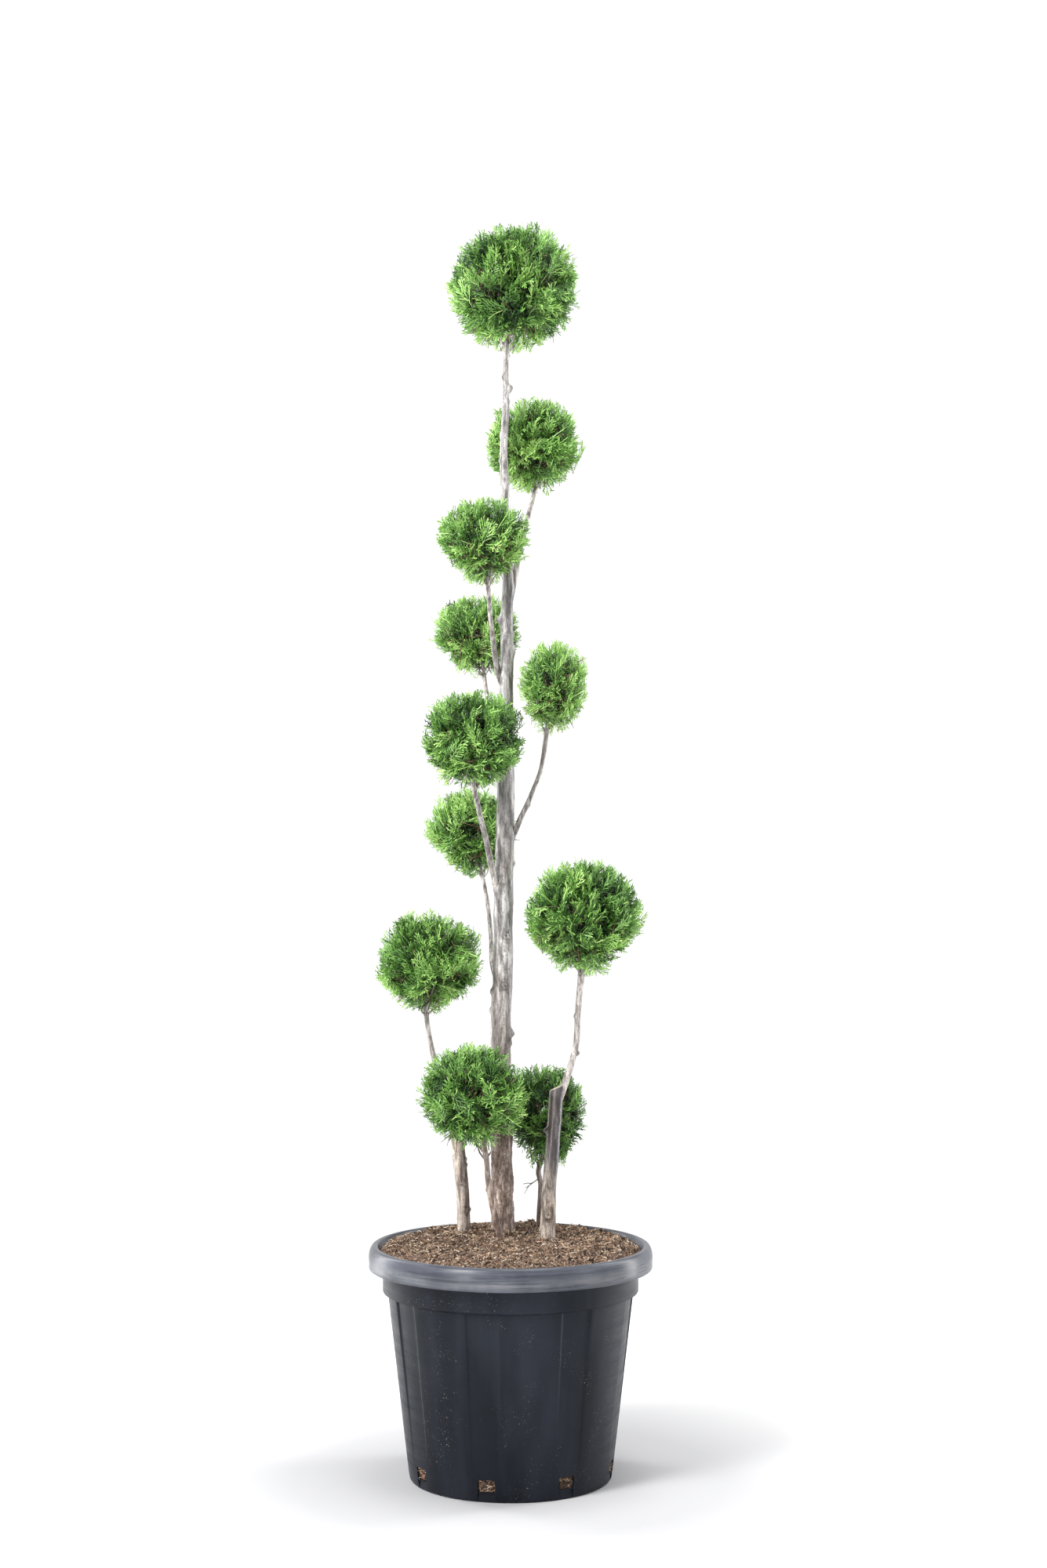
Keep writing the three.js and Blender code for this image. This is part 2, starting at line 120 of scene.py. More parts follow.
# Each clipped ball: its carrier, its middle and its reach along X, Y and Z, in millimetres, the usual tone
# of its leaves on the ladder of greens, and how much narrower it gets towards its stalk
BALLS = {
    "foliage_top": ("trunk", [5, 36, 1655], [93, 92, 87], 2.75, 0.03),
    "foliage_upper_right": ("bough_upper_right", [32, 112, 1444], [70, 70, 68], 3.9, 0.07),
    "foliage_upper_left": ("bough_upper_left", [-37, -27, 1295], [65, 64, 60], 3.2, 0.14),
    "foliage_mid_back": ("bough_mid_back", [-49, 110, 1172], [64, 62, 58], 3.6, 0.16),
    "foliage_mid_right": ("bough_mid_right", [60, 30, 1096], [50, 56, 66], 4.0, 0.06),
    "foliage_mid_left": ("bough_low_left", [-51, -39, 1021], [73, 72, 70], 2.5, 0.1),
    "foliage_low_back": ("bough_low_back", [-55, 117, 890], [67, 66, 64], 3.4, 0.18),
    "foliage_low_right": ("bough_right", [100, -15, 775], [82, 81, 82], 2.7, 0.14),
    "foliage_low_left": ("bough_left", [-115, 55, 707], [77, 76, 73], 3.2, 0.14),
    "foliage_front": ("stem_front", [-52, -42, 530], [74, 73, 76], 2.65, 0.08),
    "foliage_back": ("stem_back", [50, 104, 489], [58, 60, 72], 2.1, 0.06),
}

# How far into a ball its limb forks, as a share of its reach
FORK_SHARE = 0.16
# Between the rings of a skin, in millimetres, and how many corners a ring has: for each millimetre of the
# limb's radius, at least and at most
TRUNK_STEP = 2.4
LIMB_STEP = 2.0
RING_CORNERS = (3.7, 16, 60)
# What shows on the bark: [height, degrees round the limb from +X, size, kind]
MARKS = {
    "trunk": [
        [612, 15, 7, "knob"], [668, 185, 5, "knob"], [722, -75, 5, "knob"], [1189, 170, 5, "knob"],
        [1515, 5, 4, "knob"], [602, 12, 9, "eye"], [641, 178, 4.5, "knob"], [679, -72, 6, "eye"],
        [748, -72, 6, "eye"], [819, -88, 2.6, "pit"], [831, -100, 2.6, "pit"], [844, -84, 2.6, "pit"],
        [1147, -8, 7, "swell"], [1191, 172, 6, "knob"], [1512, 5, 6, "knob"], [1530, 178, 3.4, "knob"],
        # Soft dark patches on the trunk's sides: painted shade at its edges
        [777, -14, 9, "painted_shade"], [690, 194, 10, "painted_shade"], [935, 188, 7, "painted_shade"], [1095, -12, 9, "painted_shade"],
        [1290, -20, 6, "painted_shade"],
    ],
    "stem_left": [
        [432, 0, 3, "knob"], [402, -90, 4, "eye"], [362, -62, 4, "eye"], [425, 0, 3, "knob"],
        [362, 5, 3, "knob"],
    ],
    "stem_front": [[352, 180, 3, "knob"], [402, 178, 3, "knob"], [356, 180, 3.6, "knob"]],
    "stem_right": [
        [482, 180, 3, "knob"], [482, 180, 5, "knob"], [411, -84, 4.5, "eye"], [368, -88, 5.5, "eye"],
        # Soft dark patches on the stem's left side: painted shade
        [470, 215, 9, "painted_shade"], [520, 220, 9, "painted_shade"],
    ],
    "bough_right": [[590, 0, 2.5, "knob"], [590, 5, 3.4, "knob"], [640, 175, 3, "knob"]],
    "bough_mid_right": [[932, 10, 2, "knob"], [976, 10, 2, "knob"]],
}
# Up to what height the bark peels, fading out below it, in metres
FLAKY_TO = {"trunk": 0.62, "stem_right": 0.42, "usual": 0.4}
FLAKY_FADE = 0.16
FLAKY_RADIUS = 12 * MM  # thinner limbs peel less
MARK_EVERY = 22 * MM  # small random marks along a limb
PLATE_SIZE = 7 * MM
PLATE_SQUEEZE = 0.3  # the plates' width as a share of their height
PLATE_EDGE = 1.7 * MM
PLATE_DEPTH = 1.7 * MM
# The sawn end of the thick stem on the right: its middle is so far below the route's end, in millimetres
SAW_BELOW = 5
SAW_FADE = 40 * MM  # down to where the rings lean with it
SAW_SLANT = math.radians(24)
# Fibres, wrinkles and lumps of a skin: how much an axis counts, size, seed, and height for its radius
RELIEF = (
    ((1, 1, 0.1), 3.5 * MM, 32, 0.011),
    ((0.3, 0.3, 1), 6 * MM, 34, 0.011),
    ((1, 1, 0.4), 22 * MM, 33, 0.05),
)
# [from, to, radius] of each dead twig, in millimetres
DEAD_TWIG = (
    ((41, 99, 400), (21, 92, 386), 0.9),
    ((31, 95.5, 393), (17, 90, 392), 0.65),
    ((26, 93.8, 389.5), (19, 90, 378), 0.55),
)

# The pot and the soil, in millimetres
POT_HEIGHT = 322
RIM_RADIUS = 196.5
RIM_SKIRT = 31
RIM_TOP = (185.5, 189.5)
RIM_ROUND = (7, 16)  # how wide and high its top edge is rounded
LIP_THICK = 3
BAND_RADIUS = 177
BAND_BOTTOM = 257
WALL_TOP_RADIUS = 170
WALL_BOTTOM_RADIUS = 140
FOOT_BEVEL = 4
WALL = 3.5
FLOOR_TOP = 5
FLARE_BOTTOM = 296
FLARE_TOP = 319
FLARE_RADIUS = 182.5
SLOTS = 8
SLOT_TURN = math.radians(-13)
SLOT_WIDTH = 24
SLOT_HEIGHT = 17
SLOT_BOTTOM = 14
SLOT_TAB = 1.5
SLOT_ROUND = 2.5
TAB_ROUND = 0.8
FLUTE_DEPTH = 2.4
FLUTE_HALF = math.radians(7.5)
FLUTE_SOFT = math.radians(0.8)
SOIL_EDGE = 315
SOIL_MOUND = 17
SOIL_POWER = 5
SOIL_GAP = 0.3  # to the wall and the floor
SOIL_RELIEF = ((1.6, 55 * MM, 41), (2.3, 20 * MM, 42), (1.5, 8 * MM, 43))  # height, size and seed

# Tufts, sprays and shoots of scale leaves, in millimetres
TUFT_AREA = 1000  # of a ball's outside, for each tuft
SPRAY_AREA = 150  # of a ball's outside, for each spray
SPRAY_LENGTH = 40
SPRAY_SHAPES = 14
BRANCHLETS = (0.14, 0.95)  # from and up to which share of its length a spray has them
SHOOT_WIDTH = 1.45
ROUNDNESS = 2.25  # 2 would clip the balls to ellipsoids, and more makes them squarer
CLIP_SHARE = 1.04  # of the reach: no shoot goes further out
STRAY_SHARE = 0.12  # of the sprays stick out
STRAY_REACH = 0.07
# Round the stalk: how much further sprays reach down, the cosine of the angle within which some are left
# out, and the largest share of them
STALK_LOOKS = {"usual": (0.1, 0.94, 0.6), "foliage_front": (0.0, 0.9, 1.0)}
# A ball's wood: how far boughs, twigs to the tufts and bare twigs go, as shares of the reach
BOUGHS = 12
BOUGH_REACH = 0.46
TWIG_REACH = 0.66
SPRAY_TWIG_RADII = np.array([0.0007, 0.0006, 0.0005])
BARE_TWIGS = 0.25  # for each millimetre of a ball's reach
BARE_FROM = 0.72
BARE_REACH = 1.07
BARE_RADII = np.array([0.7, 0.6, 0.5, 0.35]) * MM
LOW_FORKS = 5  # boughs that leave a stalk where it enters its ball
LOW_FORK_REACH = 0.62
LOW_FORK_DROP = {"stem_front": 21 * MM, "stem_back": 12 * MM}
LEAST_OUTWARD = 0.42  # cosine of the widest angle between a spray and straight outwards
LIMB_GAP = 0.8 * MM
DRY_SHARE = 0.001
SUNK_SHARE = 0.2  # of the sprays sit deeper
INNER_SHARE = 0.13  # of them fill the inside, every way round
# Darker greens deeper in a ball are painted shade, and lighter greens at the outside are partly the new
# tips' own colour
TONE_EVEN = 0.9  # of the reach: leaves further out are lighter, and leaves further in are darker
TONE_RISE = 9  # steps of the ladder of greens for the whole reach


def wall_radius(z):
    return WALL_BOTTOM_RADIUS + (WALL_TOP_RADIUS - WALL_BOTTOM_RADIUS) * z / BAND_BOTTOM


def inner_radius(z):
    if z <= FLARE_BOTTOM:
        return wall_radius(z) - WALL
    share = (z - FLARE_BOTTOM) / (FLARE_TOP - FLARE_BOTTOM)
    low = wall_radius(FLARE_BOTTOM) - WALL
    return low + (FLARE_RADIUS - low) * share


def unit(v):
    return v / np.linalg.norm(v, axis=-1, keepdims=True)


# Smooth random values of about -1 to 1 at points, in bumps of about size: a sum of seeded waves
def rough(points, size, seed, count=24):
    rng = np.random.default_rng(seed)
    ways = unit(rng.normal(size=(count, 3)))
    ways *= (2 * math.pi / size) * rng.uniform(0.5, 1.5, (count, 1))
    phases = rng.uniform(0, 2 * math.pi, count)
    return np.sin(points @ ways.T + phases).sum(-1) * math.sqrt(2 / count) * 0.6


# Materials
def new_material(name, colour, roughness):
    material = bpy.data.materials.new(name)
    material.use_nodes = True
    shader = material.node_tree.nodes["Principled BSDF"]
    shader.inputs["Base Color"].default_value = (*colour, 1)
    shader.inputs["Roughness"].default_value = roughness
    return material, material.node_tree, shader


# A shader node and its settings. Each of its inputs is a value, or the socket that feeds it.
def node(tree, kind, inputs, **settings):
    made = tree.nodes.new(f"ShaderNode{kind}")
    for key, value in settings.items():
        setattr(made, key, value)
    for key, value in inputs.items():
        socket = made.inputs[key]
        if isinstance(value, bpy.types.NodeSocket):
            tree.links.new(value, socket)
        else:
            socket.default_value = (*value, 1) if socket.type == "RGBA" else value
    return made


def place_node(tree, kind="Object"):
    return node(tree, "TexCoord", {}).outputs[kind]


def axis_node(tree, vector, axis):
    return node(tree, "SeparateXYZ", {"Vector": vector}).outputs[axis]


# An object-space noise: the smaller its factor for an axis, the longer it's drawn out along that axis
def noise_node(tree, scale, detail, roughness, stretch=(1, 1, 1)):
    mapping = node(tree, "Mapping", {"Vector": place_node(tree), "Scale": stretch})
    inputs = {"Vector": mapping.outputs["Vector"], "Scale": scale, "Detail": detail, "Roughness": roughness}
    return node(tree, "TexNoise", inputs).outputs["Fac"]


def ramp_node(tree, value, stops):
    ramp = tree.nodes.new("ShaderNodeValToRGB")
    elements = ramp.color_ramp.elements
    while len(elements) < len(stops):
        elements.new(0.5)
    for element, (position, colour) in zip(elements, stops):
        element.position = position
        element.color = (*colour, 1)
    tree.links.new(value, ramp.inputs["Fac"])
    return ramp.outputs["Color"]


def mix_node(tree, factor, a, b, blend="MIX"):
    return node(tree, "Mix", {0: factor, 6: a, 7: b}, data_type="RGBA", blend_type=blend).outputs[2]


def tinted(tree, colour, tint):
    return mix_node(tree, 1.0, colour, tint, "MULTIPLY")


def map_node(tree, value, low, high, to_low, to_high):
    inputs = {"Value": value, "From Min": low, "From Max": high, "To Min": to_low, "To Max": to_high}
    return node(tree, "MapRange", inputs).outputs["Result"]


def times_node(tree, a, b):
    return node(tree, "Math", {0: a, 1: b}, operation="MULTIPLY").outputs[0]


def bump_node(tree, shader, height, distance, strength):
    bump = node(tree, "Bump", {"Height": height, "Distance": distance, "Strength": strength})
    tree.links.new(bump.outputs["Normal"], shader.inputs["Normal"])


# A number that each corner of a mesh keeps under a name
def attribute_node(tree, name):
    return node(tree, "Attribute", {}, attribute_name=name).outputs["Fac"]


# Upright plates of bark: how dark the cracks between them are, and a random number for each plate
def plate_nodes(tree):
    place = place_node(tree)
    bend = node(tree, "TexNoise", {"Vector": place, "Scale": 130}).outputs["Color"]
    bent = node(tree, "VectorMath", {0: bend, 1: (0.008, 0.008, 0.03), 2: place}, operation="MULTIPLY_ADD")
    squeezed = node(tree, "Mapping", {"Vector": bent.outputs["Vector"], "Scale": (1, 1, PLATE_SQUEEZE)})
    cells = {"Vector": squeezed.outputs["Vector"], "Scale": 170}
    edge = node(tree, "TexVoronoi", cells, feature="DISTANCE_TO_EDGE").outputs["Distance"]
    shade = node(tree, "TexVoronoi", cells, feature="F1").outputs["Color"]
    return map_node(tree, edge, 0.02, 0.15, 1, 0), axis_node(tree, shade, "X")


# Bark from its foot's colours to its upper ones, each dark, middle and light, between two heights: mottled,
# with painted light and shade in long upright bands, fibres whose light streaks are partly painted
# highlight, stains, grain and specks. Where it's flaky it has plates, and its hollows are darker, partly
# from their own colour and partly from painted shade.
def bark_material(name, low, high, heights, roughness):
    material, tree, shader = new_material(name, high[1], roughness)
    mottle = noise_node(tree, 150, 9, 0.7, (1, 1, 0.22))
    # Thin long upright streaks: partly the bark's fibres, partly painted highlight streaks of sheen
    fibres_and_sheen = noise_node(tree, 420, 4, 0.6, (1, 1, 0.045))
    # Painted light and shade: long upright bands that lighten and darken the bark
    painted_light_bands = noise_node(tree, 62, 3, 0.5, (1, 1, 0.1))
    grain = noise_node(tree, 1100, 3, 0.7, (1, 1, 0.6))
    stains = noise_node(tree, 26, 5, 0.6, (1, 1, 0.42))
    dashes = noise_node(tree, 420, 3, 0.5, (0.4, 0.4, 1.2))
    specks = noise_node(tree, 460, 2, 0.5, (1, 1, 0.6))
    cracks, plate = plate_nodes(tree)
    flaky = attribute_node(tree, "flaky")
    height = axis_node(tree, place_node(tree), "Z")
    wander = node(tree, "Math", {0: stains, 1: BARK_WANDER, 2: height}, operation="MULTIPLY_ADD").outputs[0]
    rise = map_node(tree, wander, heights[0] + BARK_WANDER / 2, heights[1] + BARK_WANDER / 2, 0, 1)
    foot, upper = (ramp_node(tree, mottle, list(zip((0.39, 0.5, 0.61), tones))) for tones in (low, high))
    colour = mix_node(tree, rise, foot, upper)
    shades = (
        (painted_light_bands, [(0.36, (0.65, 0.63, 0.64)), (0.5, (0.95, 0.94, 0.93)), (0.62, (1.2, 1.2, 1.19))]),
        (fibres_and_sheen, [(0.34, (0.72, 0.7, 0.69)), (0.5, (1, 1, 1)), (0.68, (1.2, 1.2, 1.2))]),
        (stains, [(0.3, (0.68, 0.66, 0.68)), (0.44, (1, 1, 1)), (0.68, (1.06, 1.05, 1.04))]),
        (grain, [(0.34, (0.68, 0.67, 0.66)), (0.5, (1, 1, 1)), (0.68, (1.25, 1.25, 1.25))]),
    )
    for value, shade in shades:
        colour = tinted(tree, colour, ramp_node(tree, value, shade))
    colour = tinted(tree, colour, map_node(tree, height, 1.15, 1.55, 1, 1.3))
    colour = mix_node(tree, map_node(tree, stains, 0.55, 0.72, 0, 0.3), colour, low[1])
    colour = mix_node(tree, map_node(tree, dashes, 0.63, 0.7, 0, 0.4), colour, low[0])
    stops = [(0, (0.78, 0.71, 0.67)), (0.5, (1, 0.97, 0.95)), (1, (1.24, 1.22, 1.2))]
    colour = mix_node(tree, flaky, colour, tinted(tree, colour, ramp_node(tree, plate, stops)))
    cracked = times_node(tree, times_node(tree, cracks, flaky), map_node(tree, grain, 0.3, 0.6, 1, 0.4))
    colour = mix_node(tree, cracked, colour, CRACK)
    colour = mix_node(tree, map_node(tree, specks, 0.66, 0.71, 0, 0.8), colour, SPECK)
    # The marks' own dark colour, and painted shade in the dips of the mesh
    colour = mix_node(tree, attribute_node(tree, "dark_marks_and_shade"), colour, MARK_AND_SHADE_DARK)
    tree.links.new(colour, shader.inputs["Base Color"])
    dull = map_node(tree, mottle, 0.3, 0.7, 0.85, 0.65)
    glossy = map_node(tree, mottle, 0.3, 0.7, roughness + 0.1, roughness - 0.08)
    tree.links.new(mix_node(tree, rise, dull, glossy), shader.inputs["Roughness"])
    bump_node(tree, shader, mottle, 1.2 * MM, 0.45)
    return material


# A material with the colours of one noise and the bumps of another, each (scale, detail, roughness)
def grainy_material(name, colour, roughness, grains, stops, lumps, distance, strength):
    material, tree, shader = new_material(name, colour, roughness)
    tree.links.new(ramp_node(tree, noise_node(tree, *grains), stops), shader.inputs["Base Color"])
    bump_node(tree, shader, noise_node(tree, *lumps), distance, strength)
    return material


# Black plastic with a pale bloom in smears and specks of soil in clusters
def plastic_material():
    material, tree, shader = new_material("pot_plastic", (0.012, 0.013, 0.016), 0.42)
    shader.inputs["Specular IOR Level"].default_value = 0.15
    shader.inputs["Specular Tint"].default_value = (0.84, 0.93, 1, 1)
    clouds = noise_node(tree, 9, 4, 0.6)
    smears = noise_node(tree, 17, 4, 0.5, (1, 1, 0.16))
    scuffs = noise_node(tree, 30, 6, 0.7, (0.35, 0.35, 3.5))
    base = ramp_node(tree, clouds, [(0.3, (0.0045, 0.0052, 0.0078)), (0.7, (0.008, 0.0095, 0.014))])
    base = mix_node(tree, map_node(tree, smears, 0.42, 0.68, 0, 0.36), base, (0.034, 0.039, 0.054))
    cluster = map_node(tree, noise_node(tree, 14, 3, 0.6), 0.5, 0.74, 0, 1)
    for scale, colour in ((380, (0.3, 0.26, 0.22)), (760, (0.42, 0.4, 0.38))):
        specks = map_node(tree, noise_node(tree, scale, 2, 0.5), 0.7, 0.72, 0, 0.7)
        base = mix_node(tree, mix_node(tree, cluster, (0, 0, 0), specks), base, colour)
    tree.links.new(base, shader.inputs["Base Color"])
    tree.links.new(map_node(tree, scuffs, 0.3, 0.7, 0.32, 0.5), shader.inputs["Roughness"])
    bump_node(tree, shader, clouds, 3 * MM, 0.3)
    return material


# The rim is the same plastic, dusty in rings and clouds, with a paler band round its middle that is a
# painted highlight.
def rim_material():
    material, tree, shader = new_material("rim_plastic", (0.05, 0.053, 0.062), 0.35)
    shader.inputs["Specular IOR Level"].default_value = 0.24
    rings = noise_node(tree, 26, 6, 0.7, (0.3, 0.3, 9))
    clouds = noise_node(tree, 16, 4, 0.6)
    base = ramp_node(tree, rings, [(0.35, (0.045, 0.049, 0.062)), (0.65, (0.087, 0.093, 0.114))])
    shade = ramp_node(tree, clouds, [(0.35, (0.75, 0.75, 0.76)), (0.65, (1.2, 1.2, 1.18))])
    base = tinted(tree, base, shade)
    height = axis_node(tree, place_node(tree), "Z")
    above = map_node(tree, height, 0.291, 0.298, 0, 1)
    below = map_node(tree, height, 0.302, 0.311, 1, 0)
    # Painted highlight: a paler band round the rim's widest part
    painted_highlight_band = times_node(tree, times_node(tree, above, below), map_node(tree, rings, 0.36, 0.6, 0.1, 0.75))
    painted_highlight_band = times_node(tree, painted_highlight_band, map_node(tree, clouds, 0.38, 0.6, 0.25, 1))
    tree.links.new(mix_node(tree, painted_highlight_band, base, (0.17, 0.174, 0.183)), shader.inputs["Base Color"])
    tree.links.new(map_node(tree, rings, 0.3, 0.7, 0.22, 0.4), shader.inputs["Roughness"])
    return material


def plain_materials(prefix, looks):
    return [new_material(f"{prefix}_{name}", colour, rough)[0] for name, colour, rough in looks]


BARK_WANDER = 0.24  # how far up and down a bark's change of colour wanders, in metres
CRACK = (0.05, 0.032, 0.024)
SPECK = (0.06, 0.042, 0.034)
MARK_AND_SHADE_DARK = (0.04, 0.027, 0.02)
# Bark colours, each dark, middle and light
FOOT = ((0.11, 0.077, 0.063), (0.29, 0.23, 0.198), (0.48, 0.41, 0.37))
SILVER = ((0.093, 0.088, 0.087), (0.26, 0.25, 0.247), (0.49, 0.478, 0.472))
TAN = ((0.095, 0.073, 0.056), (0.3, 0.248, 0.205), (0.53, 0.47, 0.41))
PALE = ((0.12, 0.095, 0.077), (0.36, 0.305, 0.26), (0.6, 0.54, 0.48))
PURPLE = ((0.02, 0.016, 0.018), (0.055, 0.047, 0.051), (0.15, 0.138, 0.142))
RED = ((0.075, 0.045, 0.033), (0.2, 0.14, 0.11), (0.4, 0.335, 0.29))
GREY = ((0.1, 0.087, 0.082), (0.3, 0.275, 0.26), (0.55, 0.525, 0.51))
BARKS = {
    "trunk": bark_material("bark_trunk", FOOT, SILVER, (0.46, 0.72), 0.33),
    "stem_left": bark_material("bark_left", PALE, PALE, (0.3, 0.6), 0.66),
    "stem_right": bark_material("bark_right", TAN, PURPLE, (0.36, 0.44), 0.26),
    "stem_front": bark_material("bark_front", RED, TAN, (0.38, 0.44), 0.6),
    "bough": bark_material("bark_bough", TAN, GREY, (0.3, 0.6), 0.4),
}
WOOD_STOPS = [(0.3, (0.3, 0.23, 0.17)), (0.6, (0.6, 0.52, 0.42))]
WOOD_NOISE = (500, 4, 0.6)
SAWN_WOOD = grainy_material(
    "sawn_wood", (0.5, 0.42, 0.33), 0.7, WOOD_NOISE, WOOD_STOPS, WOOD_NOISE, 0.5 * MM, 0.5
)
PLASTIC = plastic_material()
RIM_PLASTIC = rim_material()
SOIL_STOPS = [(0.38, (0.012, 0.008, 0.006)), (0.5, (0.08, 0.05, 0.034)), (0.62, (0.3, 0.2, 0.14))]
SOIL_BED = grainy_material(
    "soil_bed", (0.07, 0.045, 0.03), 1.0, (330, 6, 0.75), SOIL_STOPS, (60, 4, 0.6), 4 * MM, 0.8
)
TWIG_BARK = new_material("twig_bark", (0.15, 0.095, 0.055), 0.8)[0]
# The ladder of greens, from the darkest to the lightest
GREENS = [
    ("deepest", (0.011, 0.038, 0.007), 0.6),
    ("deep", (0.031, 0.094, 0.016), 0.55),
    ("mid", (0.082, 0.197, 0.035), 0.5),
    ("fresh", (0.152, 0.325, 0.062), 0.48),
    ("light", (0.25, 0.47, 0.108), 0.46),
    ("tip", (0.4, 0.62, 0.18), 0.46),
]
LEAVES = plain_materials("leaf", [*GREENS, ("dry", (0.24, 0.15, 0.07), 0.7)])
DRY = len(GREENS)
CRUMB_LOOKS = [
    ("dark", (0.025, 0.015, 0.01), 1.0),
    ("brown", (0.11, 0.064, 0.042), 1.0),
    ("red", (0.21, 0.117, 0.072), 0.95),
    ("tan", (0.4, 0.29, 0.2), 0.95),
]
CRUMBS = plain_materials("crumb", CRUMB_LOOKS)
FIBRES = plain_materials("fibre", [("straw", (0.37, 0.25, 0.155), 0.8), ("pale", (0.6, 0.5, 0.39), 0.8)])


def new_object(name, data):
    made = bpy.data.objects.new(name, data)
    bpy.context.collection.objects.link(made)
    return made


# A piece made from arrays: groups holds one array of faces for each number of corners, and numbers holds
# each face's material.
def add_piece(name, replaces, points, groups, materials, numbers=None, smooth=False):
    mesh = bpy.data.meshes.new(name)
    corners = np.concatenate([g.ravel() for g in groups]).astype(np.int32)
    sizes = np.concatenate([np.full(len(g), g.shape[1]) for g in groups]).astype(np.int32)
    mesh.vertices.add(len(points))
    mesh.vertices.foreach_set("co", np.asarray(points, np.float32).ravel())
    mesh.loops.add(len(corners))
    mesh.loops.foreach_set("vertex_index", corners)
    mesh.polygons.add(len(sizes))
    mesh.polygons.foreach_set("loop_start", (np.cumsum(sizes) - sizes).astype(np.int32))
    if numbers is not None:
        mesh.polygons.foreach_set("material_index", np.asarray(numbers, np.int32))
    mesh.update(calc_edges=True)
    mesh.validate()
    mesh.polygons.foreach_set("use_smooth", np.full(len(mesh.polygons), smooth))
    for material in materials:
        mesh.materials.append(material)
    piece = new_object(name, mesh)
    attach(piece, BODY)
    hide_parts(*replaces)
    return piece


# Directions back and across at each point of paths (..., points, 3)
def path_frames(paths):
    along = unit(np.gradient(paths, axis=-2))
    chord = np.abs(paths[..., -1, :] - paths[..., 0, :])
    side = np.eye(3)[chord.argmin(-1)][..., None, :]
    back = unit(np.cross(side, along))
    return back, np.cross(along, back)


# The angles of the corners of rings round paths, and the directions out to them from each of their points
def ring_ways(paths, sides):
    back, across = path_frames(paths)
    angles = np.arange(sides) * 2 * math.pi / sides
    spokes = np.cos(angles)[:, None] * across[..., None, :] + np.sin(angles)[:, None] * back[..., None, :]
    return angles, spokes


# Faces between k rings of corners, and of fans to a point before the first ring and one after the last
def ring_faces(k, sides):
    rim = np.arange(sides)
    turn = (rim + 1) % sides
    first = np.arange(k - 1)[:, None] * sides
    quads = np.stack([first + rim, first + turn, first + turn + sides, first + rim + sides], -1)
    last = (k - 1) * sides
    foot = np.stack([turn, rim, np.full(sides, k * sides)], -1)
    tip = np.stack([last + rim, last + turn, np.full(sides, k * sides + 1)], -1)
    return quads.reshape(-1, 4), foot, tip


# Faces of one thing, repeated for count things with so many corners each
def repeated(faces, count, corners):
    first = np.arange(count)[:, None, None] * corners
    return (faces + first).reshape(-1, faces.shape[1])


# Closed tubes round paths (n, k, 3) with radii (n, k): points, four-cornered and three-cornered faces
def tubes(paths, radii, sides):
    n, k, _ = paths.shape
    _, spokes = ring_ways(paths, sides)
    rings = paths[:, :, None] + radii[:, :, None, None] * spokes
    points = np.concatenate([rings.reshape(n, k * sides, 3), paths[:, :1], paths[:, -1:]], 1)
    quads, foot, tip = ring_faces(k, sides)
    faces = (repeated(own, n, points.shape[1]) for own in (quads, np.concatenate([foot, tip])))
    return points.reshape(-1, 3), *faces


# Joins [(points, faces, ...), ...] into one set of arrays
def joined(parts):
    points, *groups = zip(*parts)
    starts = np.cumsum([0, *map(len, points)])
    return np.concatenate(points), *(np.concatenate([f + s for f, s in zip(own, starts)]) for own in groups)


# A limb's centre line and radius at even steps, in metres: the same centripetal curve as the part's
def limb_line(route, step):
    route = np.array(route, float)
    places, sizes = route[:, :3], route[:, 3]
    before = 2 * places[0] - places[1]
    after = 2 * places[-1] - places[-2]
    padded = np.concatenate([[before], places, [after]])
    fine, widths = [], []
    for i in range(len(places) - 1):
        p0, p1, p2, p3 = padded[i : i + 4]
        d0, d1, d2 = (max(np.linalg.norm(b - a) ** 0.5, 1e-4) for a, b in ((p0, p1), (p1, p2), (p2, p3)))
        t1 = ((p1 - p0) / d0 - (p2 - p0) / (d0 + d1) + (p2 - p1) / d1) * d1
        t2 = ((p2 - p1) / d1 - (p3 - p1) / (d1 + d2) + (p3 - p2) / d2) * d1
        t = np.linspace(0, 1, 40, endpoint=False)[:, None]
        fine.append(p1 + t1 * t + (3 * (p2 - p1) - 2 * t1 - t2) * t**2 + (2 * (p1 - p2) + t1 + t2) * t**3)
        widths.append(sizes[i] + (sizes[i + 1] - sizes[i]) * t[:, 0])
    fine = np.concatenate([*fine, places[-1:]])
    widths = np.concatenate([*widths, sizes[-1:]])
    run = np.concatenate([[0], np.cumsum(np.linalg.norm(np.diff(fine, axis=0), axis=1))])
    even = np.linspace(0, run[-1], max(int(run[-1] / step), 4) + 1)
    line = np.stack([np.interp(even, run, fine[:, k]) for k in range(3)], 1)
    return line * MM, np.interp(even, run, widths) * MM, even * MM


# A limb goes on into its ball: up to a fork a little inside, and on towards the ball's middle.
def lengthened(name, route):
    for carrier, at, reach, _, _ in BALLS.values():
        if carrier == name:
            tip, before = (np.array(place[:3], float) for place in (route[-1], route[-2]))
            fork = tip + unit(tip - before) * FORK_SHARE * (sum(reach) / 3)
            core = np.array(at) - fork
            thick = route[-1][3]
            on = [(fork, 0.92), (fork + core * 0.5, 0.6), (fork + core * 0.95, 0.3)]
            return [*route, *([*place, thick * share] for place, share in on)], fork * MM
    return route, None


LINES, FORKS = {}, {}
for name, route in ROUTES.items():
    longer, FORKS[name] = lengthened(name, route)
    LINES[name] = limb_line(longer, TRUNK_STEP if name == "trunk" else LIMB_STEP)


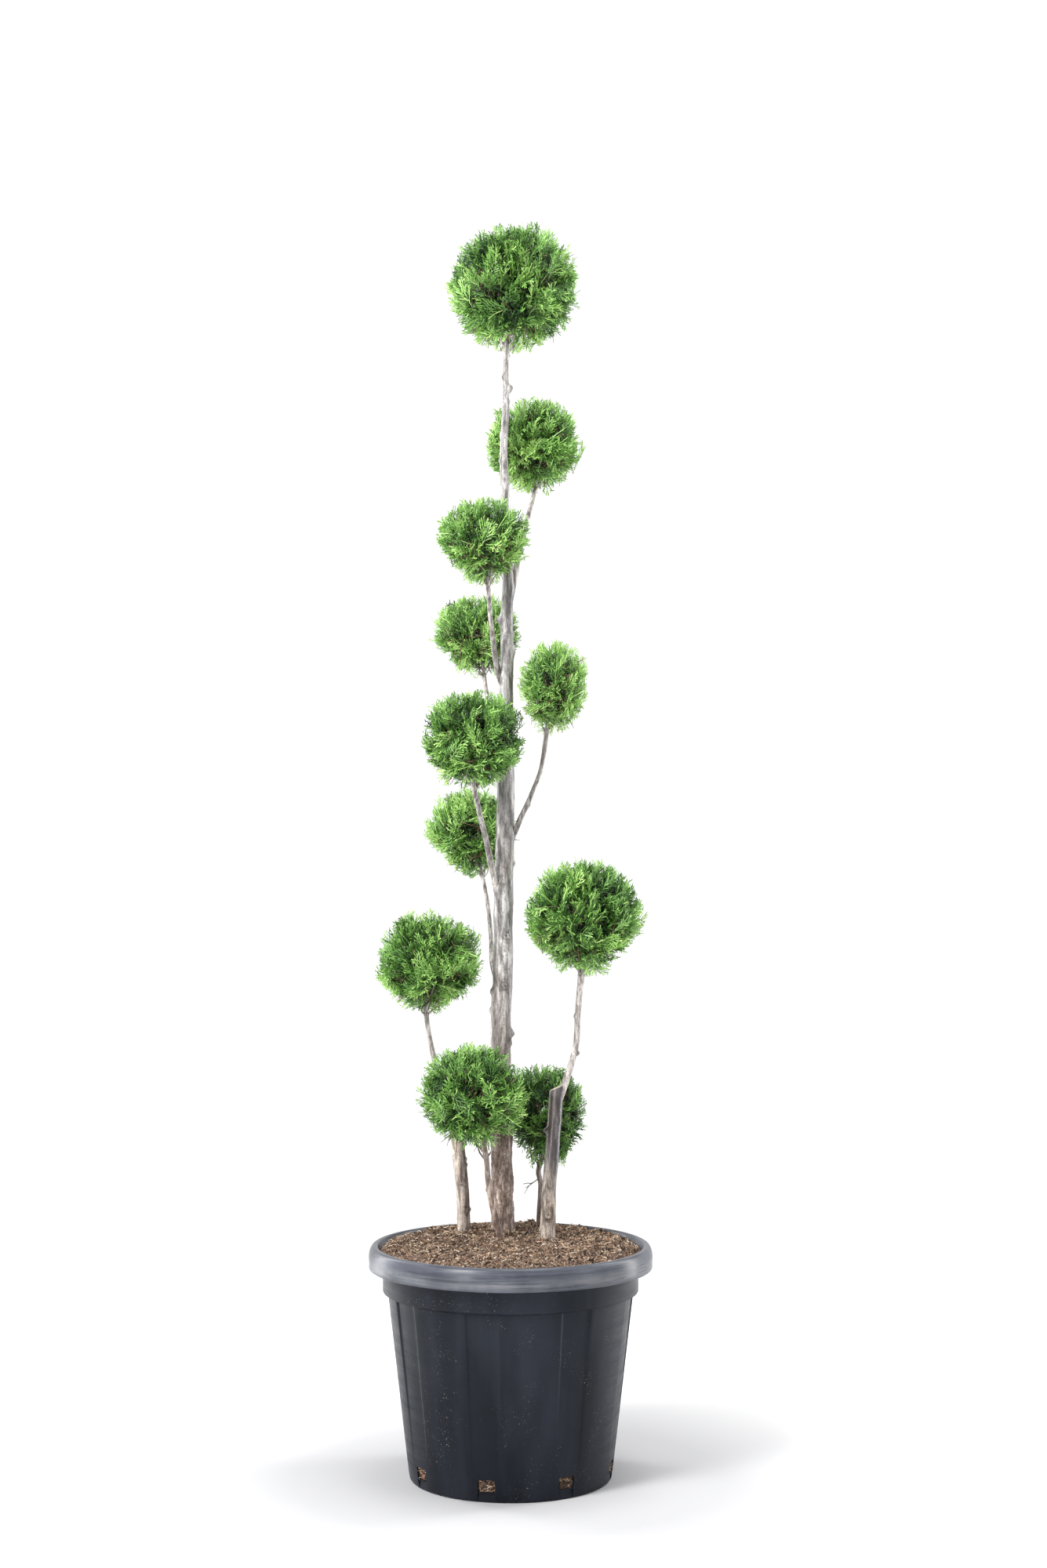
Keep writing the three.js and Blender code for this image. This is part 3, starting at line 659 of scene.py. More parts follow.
# Bark plates at points of a limb's skin, longer than they are wide: how far each point is inside its
# plate's edge, how high it lies on its plate, and a random number from 0 to 1 for the plate
def bark_plates(skin, size, seed):
    rng = np.random.default_rng(seed)
    squeezed = skin * np.array([1, 1, PLATE_SQUEEZE])
    bends = np.stack([rough(squeezed, size * 0.8, seed + k) for k in range(3)], -1)
    squeezed = squeezed + 0.22 * size * bends
    spread = np.linalg.norm(np.ptp(squeezed, axis=0)[:2]) * 2.2 * np.ptp(squeezed[:, 2])
    seeds = squeezed[rng.choice(len(squeezed), max(int(spread / size**2), 12), replace=False)]
    edge, owner = np.zeros(len(skin)), np.zeros(len(skin), int)
    for some in np.array_split(np.arange(len(skin)), max(len(skin) // 2000, 1)):
        far = np.linalg.norm(squeezed[some, None] - seeds[None], axis=2)
        owner[some] = far.argmin(1)
        nearest, second = np.partition(far, 1, axis=1)[:, :2].T
        edge[some] = second - nearest
    place = (squeezed[:, 2] - seeds[owner, 2]) / size
    return edge, place, rng.random(len(seeds))[owner]


# Marks on a limb's skin, (run, angle, size, kind): how far they make it stand out, and how dark. A knob
# is a healed stub with a dip in its middle, and an eye is a ring round a dip: their darkening is partly
# their own dark colour and partly painted shade in the dips. A pit sinks in and darkens with painted shade.
# A patch of painted shade only darkens, drawn out along the limb on one of its sides.
def marked(run, angles, radius, marks):
    rise = np.zeros((len(run), len(angles)))
    dark = np.zeros_like(rise)
    for where, angle, size, kind in marks:
        off = ((angles[None, :] - angle + math.pi) % (2 * math.pi) - math.pi) * radius[:, None]
        above = run[:, None] - where
        far = np.hypot(above, off) / size
        if kind == "eye":
            turn = np.arctan2(above, off)
            far *= 1 + 0.16 * np.sin(2 * turn + where * 900) + 0.1 * np.sin(5 * turn + where * 1300)
        middle = np.exp(-((far / 0.35) ** 2))
        if kind == "swell":
            rise += size * 0.35 * np.exp(-(far**2))
        elif kind == "knob":
            rise += size * (0.85 * np.exp(-(far**2) * 1.4) - 0.3 * middle)
            dark += 0.45 * middle
        elif kind == "eye":
            rise += size * (0.2 * np.exp(-(((far - 0.75) / 0.3) ** 2)) - 0.16 * middle)
            rings = np.exp(-(((far - 0.98) / 0.22) ** 2)) + 0.6 * np.exp(-(((far - 1.55) / 0.2) ** 2))
            dark += 0.85 * middle + 0.75 * rings
        elif kind == "painted_shade":
            # Painted shade: a soft dark patch, drawn out along the limb, on one of its sides
            dark += 0.62 * np.exp(-((np.hypot(above / 3, off) / size) ** 2))
        else:
            rise -= size * 0.3 * np.exp(-(far**2))
            dark += 0.8 * np.exp(-(far**2) * 1.5)
    return rise, dark


# A limb's marks: what MARKS gives, a swelling where each branch leaves it, and some at random
def skin_marks(name, rng):
    line, radius, run = LINES[name]
    back, across = path_frames(line)

    def turn_of(way, k):
        return math.atan2(way @ back[k], way @ across[k])

    marks = []
    for height, degrees, size, kind in MARKS.get(name, []):
        k = int(np.abs(line[:, 2] - height * MM).argmin())
        way = np.array([math.cos(math.radians(degrees)), math.sin(math.radians(degrees)), 0])
        marks.append((run[k], turn_of(way, k), size * MM, kind))
    for branch in BRANCHES.get(name, []):
        start = LINES[branch][0]
        near = np.linalg.norm(start[:, None] - line[None], axis=2).argmin(1)
        out = int((np.linalg.norm(start - line[near], axis=1) > radius[near]).argmax())
        k = near[out]
        size = ROUTES[branch][0][3] * MM
        marks.append((run[k] - size * 0.4, turn_of(start[out] - line[k], k), size * 1.6, "swell"))
    for _ in range(int(run[-1] / MARK_EVERY) + 2):
        size = rng.uniform(0.14, 0.4) * radius.mean()
        kind = rng.choice(["swell", "knob", "pit"], p=[0.45, 0.35, 0.2])
        marks.append((rng.uniform(0, run[-1]), rng.uniform(-math.pi, math.pi), size, kind))
    return marks


# A limb's skin: round its line, with marks, plates where it's flaky, fibres, wrinkles and lumps
def bark_limb(name, number):
    line, radius, run = LINES[name]
    rng = np.random.default_rng(300 + number)
    for_each, least, most = RING_CORNERS
    sides = int(np.clip(radius.max() / MM * for_each, least, most) // 4 * 4)
    angles, spokes = ring_ways(line, sides)
    skin = line[:, None] + radius[:, None, None] * spokes
    rise, dark = marked(run, angles, radius, skin_marks(name, rng))
    thick = np.clip(radius / FLAKY_RADIUS, 0.25, 1)[:, None]
    flaky_to = FLAKY_TO.get(name, FLAKY_TO["usual"])
    flaky = np.clip((flaky_to - skin[..., 2]) / FLAKY_FADE, 0, 1) * thick
    peels = flaky > 0
    if peels.any():
        edge, place, shade = bark_plates(skin[peels], PLATE_SIZE * (0.4 + 0.6 * thick.max()), 60 + number)
        inside = np.clip(edge / PLATE_EDGE, 0, 1)
        lift = inside * (0.35 + 0.65 * shade + 0.35 * np.abs(place))
        rise[peels] += flaky[peels] * (lift - 0.5) * PLATE_DEPTH
        # Painted shade along the plates' sunken edges
        dark[peels] += flaky[peels] * (1 - inside) * 0.4
    relief = sum(rough(skin * np.array(axes), size, seed) * high for axes, size, seed, high in RELIEF)
    rise += relief * radius[:, None]
    skin = skin + rise[..., None] * spokes
    looks = [BARKS.get(name, BARKS["bough"])]
    if name == "stem_right":
        saw_end(skin, ROUTES[name][-1])
        looks.append(SAWN_WOOD)
    points = np.concatenate([skin.reshape(-1, 3), skin[:1].mean(1), skin[-1:].mean(1)])
    quads, foot, tip = ring_faces(len(line), sides)
    numbers = np.zeros(len(quads) + 2 * sides, int)
    numbers[-sides:] = len(looks) - 1
    groups = [quads, np.concatenate([foot, tip])]
    piece = add_piece(f"bark_{name}", [name], points, groups, looks, numbers, smooth=True)
    for key, values in (("dark_marks_and_shade", np.clip(dark, 0, 0.9)), ("flaky", flaky)):
        values = np.append(values, [values[0].mean(), values[-1].mean()]).astype(np.float32)
        piece.data.attributes.new(key, "FLOAT", "POINT").data.foreach_set("value", values)
    if len(looks) > 1:
        sharpen(piece, degrees=50)


# Rings of skin lean more and more towards a slanted saw cut at the route's end.
def saw_end(skin, end):
    x, z = end[0] * MM, end[2] * MM
    plane = z - SAW_BELOW * MM + math.tan(SAW_SLANT) * (skin[-1, :, 0] - x)
    foot = z - SAW_FADE
    share = (skin[..., 2] - foot) / (skin[-1, :, 2] - foot)
    skin[..., 2] = np.where(share > 0, foot + share * (plane - foot), skin[..., 2])


# Smooth shading stops at edges that bend by more than some degrees.
def sharpen(piece, degrees):
    mesh = bmesh.new()
    mesh.from_mesh(piece.data)
    for edge in mesh.edges:
        if len(edge.link_faces) == 2:
            edge.smooth = edge.calc_face_angle(0) < math.radians(degrees)
    mesh.to_mesh(piece.data)
    mesh.free()


# Three dead twigs of a fork on the thin stem at the back, that the photograph shows low on its left side
def dress_dead_twig():
    parts = []
    for start, end, thick in DEAD_TWIG:
        path = np.linspace(np.array(start) * MM, np.array(end) * MM, 5)
        path[1:4] += np.random.default_rng(int(thick * 10)).normal(0, 0.0003, (3, 3))
        parts.append(tubes(path[None], np.linspace(thick, thick * 0.6, 5)[None] * MM, 6))
    points, quads, tris = joined(parts)
    add_piece("dead_twig", ["stem_back"], points, [quads, tris], [BARKS["bough"]], smooth=True)


# A flat shoot in a spray's own frame, in millimetres (X across, Y along, Z off the flat): two corners at
# each station and a tip. Stations are (share of the length, share of the width), and faces are those with
# four corners and those with three.
LONG_STATIONS = ((0, 0.65), (0.5, 0.95), (0.94, 0.8))
LONG_FACES = (np.array([[0, 1, 3, 2], [2, 3, 5, 4]]), np.array([[4, 5, 6]]))
SHORT_STATIONS = ((0, 0.7), (0.88, 0.85))
SHORT_FACES = (np.array([[0, 1, 3, 2]]), np.array([[2, 3, 4]]))


# A shoot's corners, and its place at a share of its length
def shoot_points(start, angle, length, bend, width, rng, stations):
    tilt = rng.normal(0, 0.6)
    lift = rng.normal(0, 0.26)
    flat = math.cos(tilt)

    def place(share):
        turned = angle + bend * share / 2
        return start + length * share * np.array([math.sin(turned), math.cos(turned), lift * share])

    points = []
    for share, wide in stations:
        turned = angle + bend * share
        side = np.array([math.cos(turned) * flat, -math.sin(turned) * flat, math.sin(tilt)])
        side = side * width * wide / 2
        points += [place(share) - side, place(share) + side]
    return [*points, place(1)], place


# A spray: an axis, branchlets to both sides of it, and short shoots to both sides of those. The long ones
# are the axis and the branchlets, and each short one has its branchlet's number.
def spray_shape(rng):
    axis, _ = shoot_points(np.zeros(3), 0, SPRAY_LENGTH, 0, SHOOT_WIDTH * 0.8, rng, LONG_STATIONS)
    long_shoots, short_shoots, carriers = [axis], [], []
    side = rng.choice([-1, 1])
    y, end = (share * SPRAY_LENGTH for share in BRANCHLETS)
    while y < end:
        length = SPRAY_LENGTH * (0.5 * (1 - y / SPRAY_LENGTH) ** 0.6 + 0.1) * rng.uniform(0.85, 1.12)
        angle = side * math.radians(rng.uniform(30, 44))
        bend = -side * math.radians(rng.uniform(5, 45))
        root = np.array([0, y, 0.0])
        points, place = shoot_points(root, angle, length, bend, SHOOT_WIDTH, rng, LONG_STATIONS)
        long_shoots.append(points)
        along = rng.uniform(3.5, 5.5)
        turn = rng.choice([-1, 1])
        while along < length - 2.5:
            own = min(rng.uniform(0.4, 0.65) * (length - along) + 2.8, 9)
            own_angle = angle + bend * along / length + turn * math.radians(rng.uniform(26, 48))
            own_bend = -turn * math.radians(rng.uniform(5, 40))
            shoot = (place(along / length), own_angle, own, own_bend, SHOOT_WIDTH * 0.95)
            short_shoots.append(shoot_points(*shoot, rng, SHORT_STATIONS)[0])
            carriers.append(len(long_shoots) - 1)
            turn = -turn
            along += rng.uniform(1.9, 3.0)
        side = -side
        y += rng.uniform(2.9, 4.1)
    return np.array(long_shoots), np.array(short_shoots), np.array(carriers)


# Directions spread evenly over a sphere and shaken a little
def even_directions(count, rng, jitter):
    i = np.arange(count)
    z = 1 - (2 * i + 1) / count
    turn = i * math.pi * (3 - math.sqrt(5))
    r = np.sqrt(1 - z * z)
    ways = np.stack([r * np.cos(turn), r * np.sin(turn), z], 1)
    return unit(ways + rng.normal(size=ways.shape) * jitter)


# How far out a clipped ball goes along directions, as a share of its reach
def clipped_share(ways, taper):
    round_share = (np.abs(ways) ** ROUNDNESS).sum(-1) ** (-1 / ROUNDNESS)
    below = np.clip(-ways[..., 2], 0, 1)
    return round_share * (1 - taper * 4 * below**2 * (1 - below**2))


# Which of the shoots (..., points, 3) stay clear of every limb
def clear_of_limbs(shoots, middle, far):
    clear = np.ones(shoots.shape[:-2], bool)
    for line, radius, _ in LINES.values():
        near = np.linalg.norm(line - middle, axis=1) < far + 0.02
        for place, thick in zip(line[near][::2], radius[near][::2]):
            clear &= (((shoots - place) ** 2).sum(-1) > (thick + LIMB_GAP) ** 2).all(-1)
    return clear


# Where a ball's sprays grow: it's made of tufts that bulge, and its sprays lean with their tuft.
def place_sprays(middle, reach, taper, limb_tip, stalk_look, rng):
    mean = reach.mean()
    area = 4 * math.pi * mean**2 / MM**2
    tufts = even_directions(int(area / TUFT_AREA), rng, 0.14)
    heights = rng.uniform(0.97, 1.04, len(tufts))
    count = int(area / SPRAY_AREA)
    out = even_directions(count, rng, 0.07)
    foot = out @ unit(limb_tip - middle)
    beard, open_from, openness = stalk_look
    kept = rng.random(count) > np.clip((foot - open_from) * 14, 0, openness)
    out, foot = out[kept], foot[kept]
    count = len(out)
    owner = (out @ tufts.T).argmax(1)
    lean = tufts[owner]
    off = np.arccos(np.clip((out * lean).sum(1), -1, 1)) * math.sqrt(len(tufts)) / 2
    depth = heights[owner] * (1 - 0.07 * off**2) * rng.uniform(0.94, 1.0, count)
    kind = rng.random(count)
    depth = np.where(kind < SUNK_SHARE, depth * rng.uniform(0.66, 0.94, count), depth)
    inner = kind > 1 - INNER_SHARE
    depth = np.where(inner, rng.uniform(0.45, 0.78, count), depth)
    further = np.where(rng.random(count) < STRAY_SHARE, STRAY_REACH, 0)
    further = further + beard * np.clip((foot - 0.8) * 5, 0, 1)
    depth = (depth + further) * clipped_share(out, taper)
    up = np.array([0, 0, 1.0])
    rise = rng.uniform(0.1, 1.1, count) * np.clip(out[:, 2] + 0.75, 0.1, 1)
    grow = unit(0.45 * out + 0.4 * lean + up * rise[:, None] + rng.normal(size=out.shape) * 0.3)
    grow = np.where(inner[:, None], unit(out + rng.normal(size=out.shape) * 0.7), grow)
    # A spray that grew nearly along the outside would start outside.
    outward = (grow * out).sum(1)
    grow = unit(grow + out * np.clip(LEAST_OUTWARD - outward, 0, 2)[:, None])
    # The flat of a spray mostly stands upright, turned the same way all over its tuft.
    normal = unit(np.cross(grow, up + rng.normal(size=out.shape) * 0.12))
    roll = rng.normal(0, 0.8, len(tufts))[owner] + rng.normal(0, 0.4, count)
    roll = np.where(rng.random(count) < 0.45, rng.uniform(-1.6, 1.6, count), roll)
    across = np.cross(grow, normal)
    cos, sin = np.cos(roll)[:, None], np.sin(roll)[:, None]
    normal, across = normal * cos + across * sin, across * cos - normal * sin
    size = np.minimum(rng.uniform(0.78, 1.2, count), 0.62 * mean / MM / SPRAY_LENGTH)
    tips = middle + out * reach * depth[:, None]
    return {
        "roots": tips - grow * (size * SPRAY_LENGTH * MM)[:, None],
        "frames": np.stack([across, grow, normal], 1),
        "size": size * MM,
        "tone": rng.normal(0, 0.6, len(tufts))[owner] + rng.normal(0, 0.5, count),
        "curl": rng.normal(0, 0.18, count),
        "sway": np.sign(across[:, 2]) * rng.uniform(-0.05, 0.3, count),
        "dry": rng.random(count) < DRY_SHARE,
        "limit": CLIP_SHARE + further,
        "owner": owner,
        "tufts": tufts,
        "heights": heights,
    }


# A ball's leaves: its sprays' shoots that stay inside its outline and clear of limbs, lighter further out,
# partly the new tips' own lighter green and partly painted shade that darkens leaves further in. No shoot
# stays without what carries it.
def grow_leaves(middle, reach, base_tone, taper, sprays, rng, shapes):
    which = rng.integers(0, len(shapes), len(sprays["roots"]))
    parts, face_tones = [], ([], [])
    for number, (long_shape, short_shape, carriers) in enumerate(shapes):
        own = np.flatnonzero(which == number)
        placed, kept, tones = [], [], []
        for shape in (long_shape, short_shape):
            local = np.repeat(shape[None], len(own), 0)
            share = local[..., 1] / SPRAY_LENGTH
            local[..., 2] += sprays["curl"][own, None, None] * share**2 * SPRAY_LENGTH
            local[..., 0] += sprays["sway"][own, None, None] * share**2 * SPRAY_LENGTH
            world = np.einsum("nspk,nkj->nspj", local, sprays["frames"][own])
            shoots = world * sprays["size"][own, None, None, None] + sprays["roots"][own, None, None]
            ways = (shoots[:, :, -1] - middle) / reach
            reached = np.linalg.norm(ways, axis=2)
            reached /= clipped_share(ways / reached[..., None], taper)
            # Painted shade: shoots deeper in the ball take darker greens
            tone = base_tone + sprays["tone"][own, None] + (reached - TONE_EVEN) * TONE_RISE
            tone = np.round(tone + rng.normal(0, 0.75, reached.shape))
            tone = np.clip(tone, 0, len(GREENS) - 1).astype(int)
            placed.append(shoots)
            inside = reached < sprays["limit"][own, None]
            kept.append(inside & clear_of_limbs(shoots, middle, reach.max()))
            tones.append(np.where(sprays["dry"][own, None], DRY, tone))
        kept[0] &= kept[0][:, :1]
        kept[1] &= kept[0][:, carriers]
        for shoots, keep, tone, groups in zip(placed, kept, tones, (LONG_FACES, SHORT_FACES)):
            shoots = shoots[keep]
            parts.append((shoots.reshape(-1, 3), *(repeated(faces, *shoots.shape[:2]) for faces in groups)))
            for faces, own_tones in zip(groups, face_tones):
                own_tones.append(tone[keep].repeat(len(faces)))
    points, *groups = joined(parts)
    return points, groups, np.concatenate([*face_tones[0], *face_tones[1]])


# Curved paths from starts to ends that leave along ways, as (n, steps, 3)
def bent_paths(starts, ways, ends, steps, rng, wander=0.04):
    t = np.linspace(0, 1, steps)[None, :, None]
    far = np.linalg.norm(ends - starts, axis=1)[:, None]
    handles = starts + ways * far * 0.4
    paths = (1 - t) ** 2 * starts[:, None] + 2 * t * (1 - t) * handles[:, None] + t**2 * ends[:, None]
    shake = rng.normal(size=paths.shape) * (far * wander)[:, None]
    shake[:, [0, -1]] = 0
    return paths + shake


# A ball's wood: boughs that fork from the limb's stalk, a twig out to each tuft, and a thin one on to
# each spray. The boughs come back apart, because they have the limb's bark.
def grow_twigs(limb_name, middle, reach, taper, sprays, rng):
    fork = FORKS[limb_name]
    core = middle - fork
    thick = ROUTES[limb_name][-1][3] * MM
    firsts = even_directions(BOUGHS, rng, 0.12)
    firsts[:, 2] = firsts[:, 2] * 0.8 + 0.05
    ends = middle + firsts * reach * BOUGH_REACH
    where = rng.uniform(0.0, 0.6, BOUGHS)
    starts = fork + core * where[:, None] * np.where(firsts[:, 2:] > -0.2, 1, 0.1)
    paths = bent_paths(starts, unit(unit(core)[None] * 0.8 + firsts), ends, 6, rng)
    widths = np.linspace(0.5, 0.26, 6)[None] * thick * rng.uniform(0.8, 1.1, (BOUGHS, 1))
    wood = tubes(paths, np.maximum(widths, 0.001), 8)
    nodes = paths[:, 3:].reshape(-1, 3)
    node_ways = unit(paths[:, 3:] - paths[:, 2:-1]).reshape(-1, 3)
    tufts = sprays["tufts"]
    ends = middle + tufts * reach * (sprays["heights"] * TWIG_REACH)[:, None]
    near = np.linalg.norm(ends[:, None] - nodes[None], axis=2).argmin(1)
    paths = bent_paths(nodes[near], unit(node_ways[near] + tufts), ends, 5, rng)
    widths = np.linspace(0.24, 0.13, 5)[None] * thick * rng.uniform(0.8, 1.2, (len(tufts), 1))
    parts = [tubes(paths, np.maximum(widths, 0.0007), 4)]
    owner, roots = sprays["owner"], sprays["roots"]
    nodes = paths[owner][:, 1:]
    near = np.linalg.norm(nodes - roots[:, None], axis=2).argmin(1)
    twigs = bent_paths(nodes[np.arange(len(nodes)), near], tufts[owner], roots, 3, rng, 0.05)
    parts.append(tubes(twigs, SPRAY_TWIG_RADII[None].repeat(len(twigs), 0), 3))
    # Bare twigs stick out, mostly below.
    count = int(BARE_TWIGS * reach.mean() / MM)
    ways = unit(rng.normal(size=(count, 3)) - np.array([0, 0, 1.6]))
    far = clipped_share(ways, taper) * rng.uniform(0.98, BARE_REACH, count)
    ends = middle + ways * reach * far[:, None]
    roots = middle + (ends - middle) * BARE_FROM + rng.normal(size=ends.shape) * 0.05 * reach
    parts.append(tubes(bent_paths(roots, ways, ends, 4, rng, 0.1), BARE_RADII[None].repeat(count, 0), 3))
    return joined([wood, low_forks(limb_name, middle, reach, rng)]), joined(parts)


# Boughs that leave the stalk just under its ball and fan out into it
def low_forks(limb_name, middle, reach, rng):
    line, radius, _ = LINES[limb_name]
    tip = np.array(ROUTES[limb_name][-1][:3]) * MM
    far = np.linalg.norm(line - tip, axis=1)
    below = far[: int(far.argmin()) + 1]
    drops = np.linspace(0, LOW_FORK_DROP.get(limb_name, 3 * MM), LOW_FORKS)
    at = [int(np.abs(below - drop).argmin()) for drop in drops]
    turns = rng.uniform(0, 2 * math.pi) + np.arange(LOW_FORKS) * 2.4
    sink = rng.uniform(-0.65, -0.4, LOW_FORKS)
    flat = np.sqrt(1 - sink**2)
    outs = np.stack([flat * np.cos(turns), flat * np.sin(turns), sink], 1)
    ways = unit(outs * np.array([1, 1, 0]) + np.array([0, 0, 1.3]))
    paths = bent_paths(line[at], ways, middle + outs * reach * LOW_FORK_REACH, 6, rng, 0.03)
    widths = np.linspace(0.34, 0.2, 6)[None] * radius[at][:, None]
    return tubes(paths, np.maximum(widths, 0.0008), 8)


def dress_ball(name, number, shapes):
    limb_name, at, reach, base_tone, taper = BALLS[name]
    middle, reach = np.array(at) * MM, np.array(reach) * MM
    rng = np.random.default_rng(700 + number)
    stalk_look = STALK_LOOKS.get(name, STALK_LOOKS["usual"])
    sprays = place_sprays(middle, reach, taper, FORKS[limb_name], stalk_look, rng)
    points, groups, numbers = grow_leaves(middle, reach, base_tone, taper, sprays, rng, shapes)
    add_piece(f"leaves_{name}", [name], points, groups, LEAVES, numbers)
    woods = grow_twigs(limb_name, middle, reach, taper, sprays, rng)
    for prefix, (points, *groups), look in zip(("boughs", "twigs"), woods, (BARKS["bough"], TWIG_BARK)):
        add_piece(f"{prefix}_{name}", [name], points, groups, [look], smooth=True)


# The pot. Points of an arc, and points (radius, height) of the pot's profile, in millimetres: from the
# middle of its underside outwards, up and over the rim, and down inside to the middle of its floor
def arc(centre, radius, start, end, steps):
    angles = np.radians(np.linspace(start, end, steps))
    return [(centre[0] + radius * math.cos(a), centre[1] + radius * math.sin(a)) for a in angles]


def pot_profile():
    skirt_inside = RIM_RADIUS - LIP_THICK
    skirt_low = POT_HEIGHT - RIM_SKIRT
    top_inside, top_outside = RIM_TOP
    wide, high = RIM_ROUND
    turns = np.linspace(0, math.pi / 2, 11)
    return [
        (0, 0),
        (WALL_BOTTOM_RADIUS - FOOT_BEVEL - 30, 0),
        *arc((wall_radius(0) - FOOT_BEVEL, FOOT_BEVEL), FOOT_BEVEL, -90, 0, 6),
        *[(wall_radius(z), z) for z in np.linspace(12, BAND_BOTTOM - 3, 26)],
        (WALL_TOP_RADIUS, BAND_BOTTOM - 0.6),
        (WALL_TOP_RADIUS + 1.2, BAND_BOTTOM),
        (BAND_RADIUS - 2.2, BAND_BOTTOM + 1.2),
        *arc((BAND_RADIUS - 2, BAND_BOTTOM + 3.4), 2, -60, 0, 4),
        (BAND_RADIUS, FLARE_BOTTOM - 3),
        (top_inside, FLARE_TOP - 6),
        (skirt_inside, FLARE_TOP - 5.2),
        (skirt_inside, skirt_low + 1),
        *arc((RIM_RADIUS - 1.5, skirt_low + 1.5), 1.5, 180, 360, 6),
        (RIM_RADIUS - 0.3, skirt_low + 6),
        *[(top_outside + wide * math.cos(a), POT_HEIGHT - high + high * math.sin(a)) for a in turns],
        *arc((top_inside + 1, POT_HEIGHT - 3), 3, 90, 180, 5),
        (FLARE_RADIUS - 1.4, FLARE_TOP - 3),
        (inner_radius(FLARE_BOTTOM), FLARE_BOTTOM),
        (inner_radius(FLOOR_TOP), FLOOR_TOP),
        (0, FLOOR_TOP),
    ]


# Where the pot has a column of corners: closer together at the edges of the flutes over its slots
def pot_angles():
    edge = math.degrees(FLUTE_HALF)
    soft = math.degrees(FLUTE_SOFT)
    one = [0, 2.5, 5, *np.linspace(edge - soft, edge + soft, 7), 10, 12.5, 15, 17.5, 20]
    half = [*(-a for a in reversed(one[1:])), *one]
    pitch = 360 / SLOTS
    return np.radians(np.concatenate([np.array([*half, pitch / 2]) + i * pitch for i in range(SLOTS)]))


def flute_depth(angle, z):
    off = abs((angle + math.pi / SLOTS) % (2 * math.pi / SLOTS) - math.pi / SLOTS)
    step = min(1.0, max(0.0, (FLUTE_HALF + FLUTE_SOFT - off) / (2 * FLUTE_SOFT)))
    slot_top = SLOT_BOTTOM + SLOT_HEIGHT
    rise = max(0.0, (z - slot_top) / (BAND_BOTTOM - slot_top))
    return FLUTE_DEPTH * step * step * (3 - 2 * step) * min(1.0, rise) ** 0.8


def dress_pot():
    profile = pot_profile()
    angles = pot_angles()
    n, k = len(angles), len(profile)
    points = []
    for angle in angles:
        turn = angle + SLOT_TURN
        for r, z in profile:
            fluted = r > inner_radius(z) + 1 and 40 < z < BAND_BOTTOM
            own = r - (flute_depth(angle, z) if fluted else 0)
            points.append((own * math.sin(turn) * MM, -own * math.cos(turn) * MM, z * MM))
    # The columns share their first corner under the pot, and their last on its floor.
    i, j = np.meshgrid(np.arange(n), np.arange(1, k - 2), indexing="ij")
    a, b = i * k + j, (i + 1) % n * k + j
    quads = np.stack([a, b, b + 1, a + 1], -1).reshape(-1, 4)
    rim = np.arange(n)
    turn = (rim + 1) % n
    low = np.stack([np.zeros(n, int), turn * k + 1, rim * k + 1], -1)
    high = np.stack([rim * k + k - 2, turn * k + k - 2, np.full(n, k - 1)], -1)
    heights = np.array([z for _, z in profile])
    on_rim = ((heights[:-1] + heights[1:]) / 2 > POT_HEIGHT - RIM_SKIRT - 0.5).astype(int)
    numbers = np.concatenate([on_rim[j.ravel()], np.zeros(2 * n, int)])
    groups = [quads, np.concatenate([low, high])]
    looks = [PLASTIC, RIM_PLASTIC]
    pot = add_piece("pot_shell", ["pot"], points, groups, looks, numbers, smooth=True)
    cut_slots(pot)
    sharpen(pot, degrees=32)


# Eight drain slots with round corners, and under each the wall steps back to the ground.
def cut_slots(pot):
    middle = SLOT_BOTTOM + SLOT_HEIGHT / 2
    blocks = (
        ((SLOT_WIDTH, 5 * WALL, SLOT_HEIGHT), wall_radius(middle), middle, SLOT_ROUND),
        ((SLOT_WIDTH, 2 * WALL, 2 * SLOT_BOTTOM - 2), WALL_BOTTOM_RADIUS - SLOT_TAB + WALL, 0, TAB_ROUND),
    )
    cutter = bmesh.new()
    for i in range(SLOTS):
        turn = Matrix.Rotation(SLOT_TURN + i * 2 * math.pi / SLOTS, 4, "Z")
        for size, radius, z, bevel in blocks:
            made = bmesh.ops.create_cube(cutter, size=1)["verts"]
            bmesh.ops.scale(cutter, verts=made, vec=[v * MM for v in size])
            edges = {edge for corner in made for edge in corner.link_edges}
            deep = [e for e in edges if abs((e.verts[0].co - e.verts[1].co).y) > 0.8 * size[1] * MM]
            rounding = {"offset": bevel * MM, "segments": 4, "affect": "EDGES", "profile": 0.5}
            bevelled = bmesh.ops.bevel(cutter, geom=deep, **rounding)
            made = list({v for v in [*made, *bevelled["verts"]] if v.is_valid})
            place = turn @ Matrix.Translation((0, -radius * MM, z * MM))
            bmesh.ops.transform(cutter, matrix=place, verts=made)
    mesh = bpy.data.meshes.new("slot_cutter")
    cutter.to_mesh(mesh)
    cutter.free()
    tool = new_object("slot_cutter", mesh)
    cut = pot.modifiers.new("slots", "BOOLEAN")
    cut.operation = "DIFFERENCE"
    cut.solver = "EXACT"
    cut.object = tool
    shown = pot.evaluated_get(bpy.context.evaluated_depsgraph_get())
    done = bpy.data.meshes.new_from_object(shown)
    pot.modifiers.clear()
    pot.data = done
    bpy.data.objects.remove(tool)
    bpy.data.meshes.remove(mesh)


